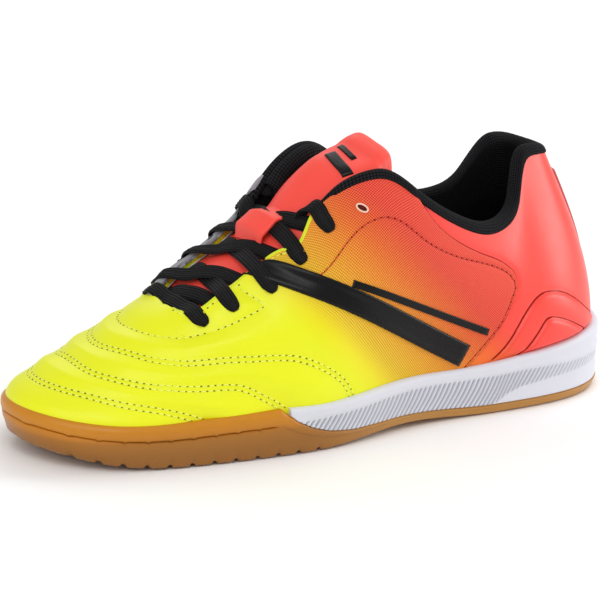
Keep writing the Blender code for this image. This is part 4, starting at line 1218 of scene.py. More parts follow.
def build_front_lining():
    v = np.concatenate([np.linspace(0.585, 0.70, 34), np.linspace(0.70, 0.74, 12)[1:], np.linspace(0.74, 1, 40)[1:]])
    w1 = np.concatenate([-v, v[::-1]])
    t = np.concatenate([np.linspace(0.16, 0.96, 34), [0.975, 0.985, 0.993, 1.0]])
    Wl, Tl = np.meshgrid(w1, t, indexing="ij")
    over = Tl > 0.999
    Tl = Tl * edge_t(Wl)
    p, n = surface(Wl, Tl), surface_normal(Wl, Tl)
    fcs = grid_faces(*Wl.shape)
    P, fcs, first = weld(p.reshape(-1, 3), fcs)
    N = n.reshape(-1, 3)[first]
    top = P - 1.62 * N
    tt = Tl.reshape(-1)[first]
    vv = np.abs(Wl.reshape(-1)[first])
    low = P - 2.05 * N
    lift = np.where(over.reshape(-1)[first] & (vv < 0.74), 0.5, 0.0)
    top += lift[:, None] * np.array([0, 0, 0.6])
    low += lift[:, None] * np.array([0, 0, 0.6])
    v, f = thicken(top, fcs, low)
    u2 = flat_map(Wl.reshape(-1)[first], tt)
    return v, f, np.vstack([u2, u2])


v, f, uv = build_front_lining()
add_piece("front_lining", v, f, look_cloth("lining_cloth", "C9C9CC"), uv=uv)

def edging(name, side, v0, v1, back, half, high, material):
    """Binding laid along the edge of the throat."""
    vv = np.linspace(v0, v1, 160)
    c = surface(side * vv, edge_t(vv) - back / 62.0)
    v, f, uv = strip_on(top_cloud, polyline(c, 0.6), lambda q: half, lambda x: high * np.sqrt(np.clip(1 - x * x, 0, 1)), cells=10, bottom=-1.2, calm=5)
    return add_piece(name, v, f, material, uv=uv)


edging("inner_edging", 1, 0.545, 0.731, 1.5, 2.1, 0.6, look_cloth("edging_cloth", "96969B"))
edging("lobe_edging", -1, 0.566, 0.628, 0.45, 0.65, 0.30, look_coral("lime_edge", "D6E40E", 0.5))
edging("vamp_edging", -1, 0.652, 0.736, 0.45, 0.60, 0.24, look_coral("lime_edge_front", "D6E40E", 0.5))

# -------------------------------------------------------------------- tongue
_rows = [tongue_row(*r) for r in TONGUE_ROWS]
_top_row = _rows[0]
_ends = []
for _du, _dz, _shrink in TONGUE_TOP:
    _r = _top_row.copy()
    _c = _r[:, 1].mean()
    _r[:, 1] = _c + (_r[:, 1] - _c) * _shrink
    _r[:, 0] += _du
    _r[:, 2] += _dz
    _ends.append(_r)
T_ROWS = np.array(_ends + _rows)
T_KEYS = np.r_[-0.105, -0.076, -0.04, [r[0] - 0.49 for r in TONGUE_ROWS]]
_tf = natural_spline(T_KEYS, T_ROWS.reshape(len(T_ROWS), -1))
_arc = np.linspace(0, 1, T_ROWS.shape[1])


def tongue_point(k, b):
    """k along the tongue (-0.105 top edge .. 0.3 under the vamp), b 0 outer .. 1 inner side."""
    k, b = np.broadcast_arrays(np.asarray(k, float), np.asarray(b, float))
    r = _tf(k.ravel()).reshape(-1, T_ROWS.shape[1], 3)
    out = np.empty((k.size, 3))
    kk = np.unique(k.ravel())
    for x in kk:
        sel = np.where(k.ravel() == x)[0]
        row = r[sel[0]]
        s = np.r_[0, np.cumsum(np.linalg.norm(np.diff(row, axis=0), axis=1))]
        out[sel] = natural_spline(s / s[-1], row)(b.ravel()[sel])
    out = out.reshape(k.shape + (3,))
    # towards the top the inner part of the tongue turns down behind its crest
    free = smooth((0.075 - k) / 0.10)
    far = np.clip((b - 0.42) / 0.58, 0, 1)
    waist = smooth((0.135 - k) / 0.06) * smooth((k + 0.005) / 0.045)
    out[..., 1] -= (15.0 * free + 11.0 * waist) * far ** 1.25
    out[..., 2] -= (5.0 * free + 5.0 * waist) * far ** 2
    return out


def build_tongue():
    k = np.concatenate([np.linspace(-0.105, -0.095, 6), np.linspace(-0.095, 0.315, 96)[1:]])
    b = np.concatenate([[0, 0.004, 0.012, 0.026], np.linspace(0.045, 0.955, 62), [0.974, 0.988, 0.996, 1.0]])
    K, B = np.meshgrid(k, b, indexing="ij")
    p = tongue_point(K, B)
    du, dv = np.gradient(p, axis=0), np.gradient(p, axis=1)
    n = np.cross(du, dv)
    n *= np.sign(n[..., 2:3])
    n /= np.linalg.norm(n, axis=-1, keepdims=True)
    length = np.r_[0, np.cumsum(np.linalg.norm(np.diff(p[:, 30], axis=0), axis=1))]
    wide = np.linalg.norm(np.diff(p, axis=1), axis=2).sum(1)
    side = np.minimum(B, 1 - B) * wide[:, None]
    edge = np.minimum(side, length[:, None])
    drop = round_over(edge, 1.5)
    # thin flap at the top, padding below it, one soft channel between
    pad = 1.0 + 0.5 * smooth((length[:, None] - 14) / 8.0) * smooth((side - 3) / 4.0)
    seam = 0.08 * np.exp(-((edge - 3.2) / 0.7) ** 2)
    top = p - (drop + seam - (pad - 1.0))[..., None] * n
    low = p - (np.where(edge < 1.5, 1.6 + 0.4 * edge, 2.2))[..., None] * n
    v, f = thicken(top.reshape(-1, 3), grid_faces(*K.shape), low.reshape(-1, 3))
    u2 = np.stack([np.broadcast_to(length[:, None], K.shape), B * wide[:, None]], -1).reshape(-1, 2)
    return v, f, np.vstack([u2, u2]), top.reshape(-1, 3), n.reshape(-1, 3)


v, f, uv, tp, tn = build_tongue()
MAT_TONGUE = look_coral("tongue_skin", "FA4A3C", 0.46)
tongue = add_piece("tongue_pad", v, f, MAT_TONGUE, uv=uv)
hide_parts("tongue")
tongue_cloud = Cloud(tp, tn)

MAT_FILM = look_gloss_black()


def film_profile(high, dish):
    def rise(x):
        edge = np.clip((1 - np.abs(x)) / 0.2, 0, 1)
        return high * np.sqrt(1 - (1 - edge) ** 2) - dish * smooth((0.75 - np.abs(x)) / 0.5)
    return rise


KEEPER_K, KEEPER_B = (0.090, 0.134), (0.33, 0.66)


def build_keeper():
    """Raised loop of the tongue's skin over two laces: joined above and below, open at its sides."""
    k = np.linspace(*KEEPER_K, 34)
    b = np.linspace(*KEEPER_B, 30)
    K, B = np.meshgrid(k, b, indexing="ij")
    p, n = tongue_cloud.drape(tongue_point(K, B))
    x = np.linspace(-1, 1, len(k))[:, None]
    y = np.linspace(-1, 1, len(b))[None, :]
    high = 3.5 * smooth((1 - np.abs(x)) / 0.6) + 0.0 * y
    edge = np.minimum(1 - np.abs(y), 0.12) / 0.12
    top = p + (high + 0.35 + 0.35 * np.sqrt(np.clip(1 - (1 - edge) ** 2, 0, 1)))[..., None] * n
    low = p + (np.maximum(high - 0.75, -0.6))[..., None] * n
    v, f = thicken(top.reshape(-1, 3), grid_faces(*K.shape), low.reshape(-1, 3))
    u2 = np.stack([K * 290.0, B * 45.0], -1).reshape(-1, 2)
    return v, f, np.vstack([u2, u2])


v, f, uv = build_keeper()
add_piece("tongue_keeper", v, f, MAT_TONGUE, uv=uv)


def tongue_bar(k0, b0, k1, b1, half, high, name, material):
    t = np.linspace(0, 1, 40)
    c = tongue_cloud.drape(tongue_point(k0 + (k1 - k0) * t, b0 + (b1 - b0) * t))[0]
    v, f, uv = strip_on(tongue_cloud, polyline(c, 0.5), lambda q: half, film_profile(high, 0.0), cells=10)
    return add_piece(name, v, f, material, uv=uv)


tongue_bar(0.026, 0.20, 0.016, 0.46, 2.1, 0.7, "tongue_bar_low", MAT_FILM)
tongue_bar(0.004, 0.30, -0.004, 0.50, 1.1, 0.55, "tongue_bar_high", MAT_FILM)

# --------------------------------------------------------------------- laces
# round, share of the way up: outer side, then inner side
EYELETS_AT = {-1: ((0.712, 0.885), (0.679, 0.84), (0.631, 0.79), (0.588, 0.812), (0.550, 0.845), (0.511, 0.852)),
              1: ((0.722, 0.90), (0.704, 0.87), (0.664, 0.83), (0.617, 0.83), (0.566, 0.845), (0.530, 0.855))}
LACE_HALF, LACE_HALF_THICK = 2.95, 0.62


def eye(side, k, back, lift):
    """Point near eyelet k: back mm down from it, away from the throat, lifted off the surface."""
    v, t = EYELETS_AT[side][k]
    w = np.array([side * v])
    tall = float(np.linalg.norm(surface(w, np.array([t])) - surface(w, np.array([t - 0.05]))) / 0.05)
    tt = np.array([t - back / tall])
    p, n = surface(w, tt), surface_normal(w, tt)
    return (p + (lift + QUARTER_RISE) * n)[0], n[0]


def rim_point(side, v, lift):
    w = np.array([side * v])
    p, n = surface(w, edge_t(w)), surface_normal(w, edge_t(w))
    up = np.array([0.25, 0.0, 1.0])
    return (p + lift * (0.5 * n + 0.5 * up / np.linalg.norm(up)))[0], n[0]


RIM_V = np.linspace(0.53, 0.739, 500)
RIM_P = {s: surface(s * RIM_V, edge_t(RIM_V)) for s in (-1, 1)}


def rim_crossing(side, a, b):
    """Where the straight way from a to b, seen from above the tongue, meets this side's edge."""
    m = np.cross(b - a, np.array([0.5, 0.0, 0.87]))
    m /= np.linalg.norm(m)
    off = np.abs((RIM_P[side] - a) @ m) + 0.02 * np.linalg.norm(RIM_P[side] - a, axis=1)
    return RIM_V[int(np.argmin(off))]


def over_tongue(ra, rb, x, layer):
    """Point over the tongue at share x of the way from one edge to the other."""
    q = ra + (rb - ra) * x
    p, n = tongue_cloud.drape((q + np.array([0.3, 0, 1.0]) * 2.0)[None])
    base = p[0] + n[0] * (0.25 + LACE_HALF_THICK + 1.35 * layer)
    chord = q + np.array([0.25, 0, 1.0]) * (0.9 * math.sin(math.pi * x)) + n[0] * 1.35 * max(layer, 0)
    return (base if base[2] > chord[2] + 0.3 or layer < 0 else chord), n[0]


def leg_end(side, k, mode, v_cross, away):
    """Knots from inside the eyelet to the edge it leaves by."""
    p, n = eye(side, k, 0.0, 0.0)
    r, rn = rim_point(side, v_cross, 0.0)
    d = r - p
    d /= np.linalg.norm(d)
    if mode == "over":
        more = ((0.2, 0.2, 0.75, 0.3, 0.1, 0.0) if side < 0 else (0.1, 0.1, 0.2, 0.95, 0.2, 0.1))[k]          # the third pair lies on the black band
        edge = 0.0 if side < 0 else 0.75        # the inner side has a binding to climb
        half, hn = base_cloud.drape((p * 0.45 + r * 0.55)[None], QUARTER_RISE + 0.92 + more + edge)
        seq = [(p - 0.9 * d + (0.12 + more) * n, n), (p - 0.5 * d + (0.84 + more) * n, n), (p + 2.2 * d + (1.0 + more) * n, n),
               (half[0], hn[0]), (rim_point(side, v_cross, 1.75 + edge)[0], rn)]
    else:
        seq = [(p - 0.4 * d - 2.0 * n, n), (p + 1.6 * d - 2.9 * n, n), (rim_point(side, v_cross, -2.7)[0], rn)]
    return seq


def leg(a, b, layers, tight=0.0):
    """Knots from one eyelet to another. a, b: (side, eyelet, 'over' or 'under')."""
    (sa, ka, ma), (sb, kb, mb) = a, b
    pa, pb = eye(sa, ka, 0, 0)[0], eye(sb, kb, 0, 0)[0]
    va, vb = rim_crossing(sa, pa, pb), rim_crossing(sb, pb, pa)
    seq = leg_end(sa, ka, ma, va, pb)
    ra, rb = rim_point(sa, va, 0.0)[0], rim_point(sb, vb, 0.0)[0]
    seq += [over_tongue(ra, rb, x, l) for x, l in zip((0.27, 0.5, 0.73), layers)]
    seq += leg_end(sb, kb, mb, vb, pa)[::-1]
    pts = np.array([q[0] for q in seq])
    nrm = np.array([q[1] for q in seq])
    d = pts[-1] - pts[0]
    d /= np.linalg.norm(d)
    side = np.cross(d, nrm)
    side /= np.linalg.norm(side, axis=1)[:, None]
    return pts, side * gathers(len(leg_end(sa, ka, ma, va, pb)), len(leg_end(sb, kb, mb, vb, pa)), len(pts))[:, None]


def gathers(first, last, count):
    """Share of the lace's width at each knot: drawn together where it goes into a hole."""
    k = np.ones(count)
    for n, order in ((first, 1), (last, -1)):
        q = k[::order]
        q[:3] = (0.45, 0.72, 0.97) if n == 5 else (0.5, 0.85, 1.0)
    return k


def strand(legs):
    pts, sides = [], []
    for k, (p, s) in enumerate(legs):
        if pts and np.dot(sides[-1], s[0]) < 0:
            s = -s
        pts += list(p)
        sides += list(s)
    pts, sides = np.array(pts), np.array(sides)
    keep = np.r_[True, np.linalg.norm(np.diff(pts, axis=0), axis=1) > 0.15]
    pts, sides = pts[keep], sides[keep]
    wide = np.linalg.norm(sides, axis=1)
    sides = sides / wide[:, None]
    s = np.r_[0.0, np.cumsum(np.linalg.norm(np.diff(pts, axis=0), axis=1) ** 0.75)]
    f = natural_spline(s, pts)
    q = np.linspace(0, s[-1], 4000)
    fine = f(q)
    l = np.r_[0.0, np.cumsum(np.linalg.norm(np.diff(fine, axis=0), axis=1))]
    n = int(l[-1] / 0.62)
    tt = np.linspace(0, l[-1], n)
    path = np.stack([np.interp(tt, l, fine[:, i]) for i in range(3)], -1)
    qs = np.interp(tt, l, q)
    sd = np.stack([np.interp(qs, s, sides[:, i]) for i in range(3)], -1)
    return path, sd, tt, np.interp(qs, s, wide)


def ribbon(path, sd, along, wide):
    t = tangents(path)
    sd = sd - (sd * t).sum(1)[:, None] * t
    sd /= np.linalg.norm(sd, axis=1)[:, None]
    n = np.cross(sd, t)
    k = 64
    a = np.linspace(0, 2 * math.pi, k, endpoint=False)
    cx = np.sign(np.cos(a)) * np.abs(np.cos(a)) ** 0.75
    cy = np.sign(np.sin(a)) * np.abs(np.sin(a)) ** 0.62
    ribs = 0.17 * np.cos(cx * LACE_HALF * 2 * math.pi / 1.0) * (np.abs(cy) > 0.5)
    X, Y = cx * LACE_HALF, cy * LACE_HALF_THICK + np.sign(cy) * ribs
    v = path[:, None] + sd[:, None] * (wide[:, None] * X[None, :])[..., None] + n[:, None] * Y[None, :, None] * (1.3 - 0.3 * wide[:, None, None])
    m = len(path)
    f = grid_faces(m, k, wrap_m=True)
    ends = []
    for j in (0, m - 1):
        lo, hi = 0, k - 1
        ring = j * k + np.arange(k)
        part = []
        while hi - lo > 2:
            part.append([ring[lo], ring[lo + 1], ring[hi - 1], ring[hi]])
            lo, hi = lo + 1, hi - 1
        part.append([ring[lo], ring[lo + 1], ring[hi], ring[hi]])
        part = np.array(part)
        ends.append(part[:, ::-1] if j == 0 else part)
    uv = np.stack(np.broadcast_arrays(along[:, None], X[None, :]), -1).reshape(-1, 2)
    return v.reshape(-1, 3), np.vstack([f] + ends), uv


def tuck(side, k):
    """From an eyelet over the edge and down inside."""
    p, n = eye(side, k, 0.0, 0.0)
    v_cross = EYELETS_AT[side][k][0] + 0.010
    seq = leg_end(side, k, "over", v_cross, None)
    q, n = seq[-1]
    inward = np.array([0.25, -side * 1.0, 0.0])
    for dist, drop in ((2.6, 0.3), (4.9, 2.6), (5.8, 7.5)):
        seq.append((q + inward * dist + np.array([0, 0, -drop]), n))
    pts = np.array([q[0] for q in seq])
    nrm = np.array([q[1] for q in seq])
    d = pts[3] - pts[0]
    d /= np.linalg.norm(d)
    sv = np.cross(d, nrm)
    sv /= np.linalg.norm(sv, axis=1)[:, None]
    return pts, sv * np.r_[0.45, 0.72, 0.97, np.ones(len(pts) - 3)][:, None]


def flip(l):
    return l[0][::-1], l[1][::-1]


O, I = -1, 1
bar = leg((O, 0, "over"), (I, 0, "over"), (0.4, 0.4, 0.4))
strand_p = [
    leg((O, 0, "under"), (I, 1, "under"), (-0.3, -0.3, -0.3)),
    leg((I, 1, "over"), (O, 2, "under"), (0.9, 1.0, 0.2)),
    leg((O, 2, "over"), (I, 3, "under"), (0.9, 0.0, 0.0)),
    leg((I, 3, "over"), (O, 4, "under"), (0.0, 0.0, 0.1)),
]
strand_q = [
    leg((I, 0, "under"), (O, 1, "under"), (0.2, 0.6, 0.2)),
    leg((O, 1, "over"), (I, 2, "under"), (0.2, 0.0, 0.0)),
    leg((I, 2, "over"), (O, 3, "under"), (0.6, 1.0, 0.2)),
    leg((O, 3, "over"), (I, 4, "under"), (0.9, 1.1, 0.3)),
]
legs = [flip(tuck(O, 4))] + [flip(l) for l in strand_p[::-1]] + [bar] + strand_q + [tuck(I, 4)]
path, sd, along, wide = strand(legs)
v, f, uv = ribbon(path, sd, along, wide)
MAT_LACE = look_lace()
laces = add_piece("lace", v, f, MAT_LACE, uv=uv)
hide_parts("laces")

# ------------------------------------------------------------------- stitches
def stitch_places(cloud, curve, pitch, start=0.0, stop=0.0):
    l = np.r_[0.0, np.cumsum(np.linalg.norm(np.diff(curve, axis=0), axis=1))]
    s = np.arange(start + pitch / 2, l[-1] - stop, pitch)
    c = np.stack([np.interp(s, l, curve[:, i]) for i in range(3)], -1)
    t = np.stack([np.interp(s, l, tangents(curve)[:, i]) for i in range(3)], -1)
    t /= np.linalg.norm(t, axis=1)[:, None]
    p, n = cloud.drape(c)
    return p, t, n, s


LACE_KD = KDTree(len(path))
for i_, q_ in enumerate(path):
    LACE_KD.insert(q_, i_)
LACE_KD.balance()


def sew(name, cloud, curves, mat_thread, mat_hole_shade, pitch=2.5, length=1.55, radius=0.27, lift=0.10, start=0.5):
    P, D, N, HP, HD, HN = [], [], [], [], [], []
    for c in curves:
        p, t, n, s = stitch_places(cloud, c, pitch, start)
        clear = np.array([LACE_KD.find(z)[2] > 3.6 for z in p], bool)
        p, t, n = p[clear], t[clear], n[clear]
        P.append(p + n * lift)
        D.append(t)
        N.append(n)
        HP.append(p - t * pitch / 2 + n * (lift - 0.12))
        HD.append(t)
        HN.append(n)
    v, f = capsules(np.vstack(P), np.vstack(D), np.vstack(N), length, radius)
    a = add_piece(name, v, f, mat_thread)
    # dark dashes between the stitches: painted shade in the needle holes
    v, f = capsules(np.vstack(HP), np.vstack(HD), np.vstack(HN), 0.75, 0.31, sides=8, flat=0.5)
    b = add_piece(name + "_holes", v, f, mat_hole_shade)
    return a, b


def below_edge(curve, cloud, keep):
    """Part of a curve where keep(point) holds."""
    return curve[keep(curve)]


# thread colours, and painted shade for the needle holes between stitches
MAT_THREAD_Y = look_thread("thread_yellow", "F2F66A")
MAT_HOLE_SHADE_Y = look_painted_shade("hole_shade_olive", "80860E")
MAT_THREAD_R = look_thread("thread_red", "C8341C")
MAT_HOLE_SHADE_R = look_painted_shade("hole_shade_red", "6E1408")
hidden = lambda c: c[c[:, 2] > ground(c[:, 0]) + side_height(c[:, 0]) - 0.5]
sew("vamp_stitching", top_cloud, [hidden(c) for c in vamp_rows], MAT_THREAD_Y, MAT_HOLE_SHADE_Y)
sew("stay_stitching", top_cloud, [hidden(c) for c in stays], MAT_THREAD_R, MAT_HOLE_SHADE_R, pitch=2.6, length=1.7)


def rim_stitch(side):
    out = []
    for v0, v1 in ((0.736, 0.662), (0.626, 0.568)):
        vv = np.linspace(v0, v1, 60)
        out.append(base_cloud.drape(polyline(surface(side * vv, edge_t(vv) - 0.040)))[0])
    return out


edge_rows = rim_stitch(-1) + rim_stitch(1)
sew("edge_stitching", top_cloud, edge_rows, MAT_THREAD_Y, MAT_HOLE_SHADE_Y, pitch=2.3, length=1.6, radius=0.22)

def eyelet(name, side, v0, t0, a, b, turn, rim, material, dark, lift=0.0):
    """Small oval hole with a raised rim; the hole is a dark disc on the surface, painted shade."""
    w, t = np.array([side * v0]), np.array([t0])
    p, n = surface(w, t)[0], surface_normal(w, t)[0]
    p, n = (q[0] for q in top_cloud.drape((p + n * QUARTER_RISE)[None]))
    p = p + (0.06 + lift) * n
    x = np.cross(np.array([0.0, 0.0, 1.0]), n)
    x /= np.linalg.norm(x)
    y = np.cross(n, x)
    x, y = x * math.cos(turn) + y * math.sin(turn), y * math.cos(turn) - x * math.sin(turn)
    k, m = 48, 12
    A, B = np.meshgrid(np.linspace(0, 2 * math.pi, k, endpoint=False), np.linspace(0, 2 * math.pi, m, endpoint=False), indexing="ij")
    ra, rb = a + rim * np.cos(B), b + rim * np.cos(B)
    v = p + (ra * np.cos(A))[..., None] * x + (rb * np.sin(A))[..., None] * y + (0.10 + 0.7 * rim * np.sin(B))[..., None] * n
    add_piece(name + "_rim", v.reshape(-1, 3), grid_faces(k, m, wrap_n=True, wrap_m=True), material)
    # the hole: a dark disc, painted shade for its depth
    rad = np.linspace(0.06, 1, 5)
    R, A = np.meshgrid(rad, np.linspace(0, 2 * math.pi, 40, endpoint=False), indexing="ij")
    v = p + (a * R * np.cos(A))[..., None] * x + (b * R * np.sin(A))[..., None] * y + (0.06 + 0 * R)[..., None] * n
    v = np.concatenate([v, v[::-1] - 0.5 * n])
    add_piece(name + "_hole", v.reshape(-1, 3), grid_faces(len(v), 40, wrap_n=True, wrap_m=True), dark)


MAT_RIM = look_coral("eyelet_rim", "F2C8B4", 0.4)
MAT_EYELET_SHADE = look_painted_shade("eyelet_hole_shade", "5A1E14")
for s_, tag in ((-1, "outer"), (1, "inner")):
    v0, t0 = EYELETS_AT[s_][5]
    eyelet("spare_eyelet_" + tag, s_, v0, t0, 2.2, 1.15, 0.5 * s_ * -1, 0.32, MAT_RIM, MAT_EYELET_SHADE)

# ----------------------------------------------------------- raised film band
BAND = ((0.650, 0.955), (0.617, 0.754), (0.585, 0.613), (0.550, 0.489), (0.512, 0.394), (0.467, 0.322),
        (0.420, 0.286), (0.373, 0.248), (0.340, 0.207))
LINE = ((0.528, 0.554), (0.489, 0.475), (0.445, 0.444), (0.398, 0.432), (0.350, 0.401), (0.304, 0.344))


def flatten(curve, side):
    """Keeps a draped curve in one plane, as a straight band looks from the side."""
    m = np.cross(curve[-1] - curve[0], np.array([0.0, side, 0.25]))
    m /= np.linalg.norm(m)
    q = curve - ((curve - curve[0]) @ m)[:, None] * m
    return base_cloud.drape(q)[0]


for side, tag in ((-1, "outer"), (1, "inner")):
    c = flatten(base_cloud.drape(polyline(on_form(side, BAND), 0.7))[0], side)
    v, f, uv = strip_on(top_cloud, c, lambda k: 4.3, film_profile(0.85, 0.28), base=0.28, calm=60)
    add_piece("side_band_" + tag, v, f, MAT_FILM, uv=uv)
    c = flatten(base_cloud.drape(polyline(on_form(side, LINE), 0.7))[0], side)
    v, f, uv = strip_on(top_cloud, c, lambda k: 1.3, film_profile(0.5, 0.0), base=0.15, cells=8, calm=20)
    add_piece("side_line_" + tag, v, f, MAT_FILM, uv=uv)

# --------------------------------------------------------------- heel strip
def build_heel_strip():
    w = np.linspace(-0.034, 0.034, 25)
    z = np.linspace(25.5, 80.0, 90)
    rows_o, rows_i = [], []
    for k, zz in enumerate(z):
        t = t_at_height(w, np.full(len(w), zz), 500)
        p, n = surface(w, t), surface_normal(w, t)
        x = np.linspace(-1, 1, len(w))
        end = min(k, len(z) - 1 - k) * (z[1] - z[0])
        hgt = 1.25 * np.sqrt(np.clip(1 - np.clip((np.abs(x) - 0.72) / 0.28, 0, 1) ** 2, 0, 1)) * math.sqrt(min(end / 1.4, 1.0))
        rows_o.append(p + (0.1 + hgt)[:, None] * n)
        rows_i.append(p - 0.4 * n)
    a, b = np.array(rows_o), np.array(rows_i)
    v, f = thicken(a.reshape(-1, 3), grid_faces(*a.shape[:2]), b.reshape(-1, 3))
    u2 = np.stack(np.meshgrid(z, np.linspace(-9, 9, len(w)), indexing="ij"), -1).reshape(-1, 2)
    return v, f, np.vstack([u2, u2])


v, f, uv = build_heel_strip()
strip = add_piece("back_strip", v, f, look_coral("strip_skin", "B8241C", 0.45), uv=uv)
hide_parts("heel_strip")

# ---------------------------------------------------------------------- sole
def dense(values, step):
    out = [values[0]]
    for a, b in zip(values[:-1], values[1:]):
        n = max(int(math.ceil(abs(b - a) / step)), 1)
        out += list(a + (b - a) * np.arange(1, n + 1) / n)
    return np.array(out)


def groove_cut(u):
    """Depth of the tread's cross grooves at u, with sloped sides."""
    fore = (u > 138.0) & (u < 231.0)
    heel = (u > 14.0) & (u < 60.0)
    x = np.abs((u / GROOVE_PITCH) % 1.0 - 0.5) * GROOVE_PITCH
    return np.where(fore | heel, GROOVE_DEEP * (1 - smooth((x - GROOVE_WIDE / 2 + 0.45) / 0.45)), 0.0)


def build_outsole():
    base = np.concatenate([np.linspace(0.0, 0.07, 16), v_for_u(np.arange(6.0, 234.0, 0.5), -1.0), np.linspace(0.95, 1.0, 14)])
    v_o = np.unique(np.clip(base, 0, 1).round(6))
    v_o = v_o[np.r_[True, np.diff(v_o) > 0.0009]]
    v_i = np.interp(v_o, v_o, v_o)
    us_o = outline(-v_o)[:, 0]
    mid = (v_o > 0.07) & (v_o < 0.95)
    v_i = v_o.copy()
    v_i[mid] = v_for_u(us_o[mid], 1.0)
    k = smooth((v_o - 0.07) / 0.03) * smooth((0.95 - v_o) / 0.03)
    v_i = v_o + (v_i - v_o) * np.where(mid, k, 0.0)
    v_i = np.maximum.accumulate(v_i)
    n = len(v_o)
    w = np.concatenate([-v_o[::-1], v_i[1:-1]])
    u = outline(w)[:, 0]
    g, hh = ground(u), rubber_height(u)
    cut = groove_cut(u)
    full = smooth((hh - 5.0) / 9.0) * smooth((u - 150.0) / 5.0)
    heel_side = u < 70.0
    side_cut = np.where(heel_side, 0.0, cut)
    toe = smooth((u - 196.0) / 40.0)
    gl = g + 0.66 * hh                      # height of the groove round the side
    tick = np.abs(np.sin(math.pi * u / 8.0)) ** 6 * 0.0 + np.exp(-(((u / 8.0) % 1.0 - 0.5) / 0.07) ** 2)
    gl = gl - 0.45 * full * tick
    deep = 0.75 * smooth((hh - 5.0) / 9.0) * smooth((u - 156.0) / 2.5)
    one = np.ones(len(w))
    cols = [
        (3.2 + 3.6 * toe, g + np.where(heel_side, 0.25 * cut, cut)),
        (2.0 + 3.1 * toe, g + 0.12 + side_cut * 0.95 + 0.1 * toe),
        (1.3 + 2.6 * toe, g + 0.45 + side_cut * 0.85 + 0.3 * toe),
        (0.85 + 2.1 * toe, g + 1.0 + side_cut * 0.65 + 0.4 * toe),
        (0.62 + 1.6 * toe, g + 1.6 + side_cut * 0.3 + 0.4 * toe),
        (0.55 + 0.9 * toe, g + 0.24 * hh + 1.3),
        (0.50 - 0.05 * full + 0.35 * toe, g + 0.40 * hh + 0.6),
        (0.50 - 0.05 * full, gl - 0.9),
        (0.50 + 0.10 * full, gl - 0.42),
        (0.50 + deep, gl - 0.12),
        (0.45 + deep, gl + 0.12),
        (0.15 + 0.05 * full, gl + 0.40),
        (0.02 * one, gl + 0.9),
        (0.0 * one, g + 0.80 * hh + 0.2),
        (0.06 + 0.1 * full, g + 0.88 * hh),
        (0.22 + 0.4 * full, g + 0.94 * hh),
        (0.50 + 0.7 * full, g + 0.98 * hh),
        (0.90 + 1.1 * full, g + hh),
    ]
    z_low = None
    pts = []
    for inset, z in cols:
        z = np.asarray(z)
        if z_low is not None:
            z = np.maximum(z, z_low + 0.03)
        z = np.minimum(z, g + hh)
        z_low = z
        pts.append(side_point(w, inset, z))
    z_top = g + hh
    tops = cup_inner(w, np.maximum(z_top, feather(w)[:, 2] + 0.1), 0.15)
    tops[:, 2] = z_top - 0.15
    low = side_point(w, np.full(len(w), CUP_WALL - CUP_GAP), z_top)
    low_u = (outline(w) - (CUP_WALL - CUP_GAP) * outward(w))[:, 0]
    fl = rubber_floor(low_u)
    mix = full[:, None]
    in_top = tops * mix + side_point(w, np.full(len(w), 2.4), z_top) * (1 - mix)
    in_low = low.copy()
    in_low[:, 2] = np.minimum(fl, z_top - 0.2)
    g_all = np.stack(pts + [in_top, in_low], 1)
    m = g_all.shape[1]
    count = len(w)
    faces = grid_faces(count, m, wrap_n=True)
    verts = g_all.reshape(-1, 3)
    # bottom and floor: strips from side to side at equal stations
    o = np.arange(n)[::-1]                       # row of station k on the outer side
    i = np.concatenate([[n - 1], n - 1 + np.arange(1, n - 1), [0]])
    extra, base_i = [], len(verts)
    share = np.array([0.12, 0.3, 0.5, 0.7, 0.88])
    fs = []
    for col in (0, m - 1):
        a, b = verts[o * m + col], verts[i * m + col]
        rows = a[:, None] + (b - a)[:, None] * share[None, :, None]
        if col == 0:
            um = rows[..., 0]
            rows[..., 2] = ground(um) + groove_cut(um) + 0.0 * um
        else:
            rows[..., 2] = rubber_floor(rows[..., 0])
        start = base_i + len(extra)
        extra += list(rows.reshape(-1, 3))
        ids = start + np.arange(n * 5).reshape(n, 5)
        line = np.concatenate([(o * m + col)[:, None], ids, (i * m + col)[:, None]], 1)
        q = np.stack([line[:-1, :-1], line[1:, :-1], line[1:, 1:], line[:-1, 1:]], -1).reshape(-1, 4)
        fs.append(q if col == 0 else q[:, ::-1])
    verts = np.vstack([verts, np.array(extra)])
    return verts, np.vstack([faces] + fs)


v, f = build_outsole()
v, f, _ = weld(v, f, 0.002)
MAT_GUM = look_gum()
sole = add_piece("gum_outsole", v, f, MAT_GUM, smooth=True, angle=60)
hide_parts("outsole")

RIB_BAND = (  # u, low, high above the underside
    (5.0, 11.4, 13.8), (14.0, 10.8, 14.8), (37.0, 9.8, 15.4), (50.0, 8.6, 15.4), (56.0, 6.6, 15.0),
    (61.0, 3.8, 14.8), (68.0, 2.6, 14.6), (86.0, 2.0, 13.6), (104.0, 2.4, 12.7), (121.0, 3.5, 12.4),
    (134.0, 5.0, 12.7), (144.0, 6.4, 12.4), (151.0, 8.2, 12.0),
)


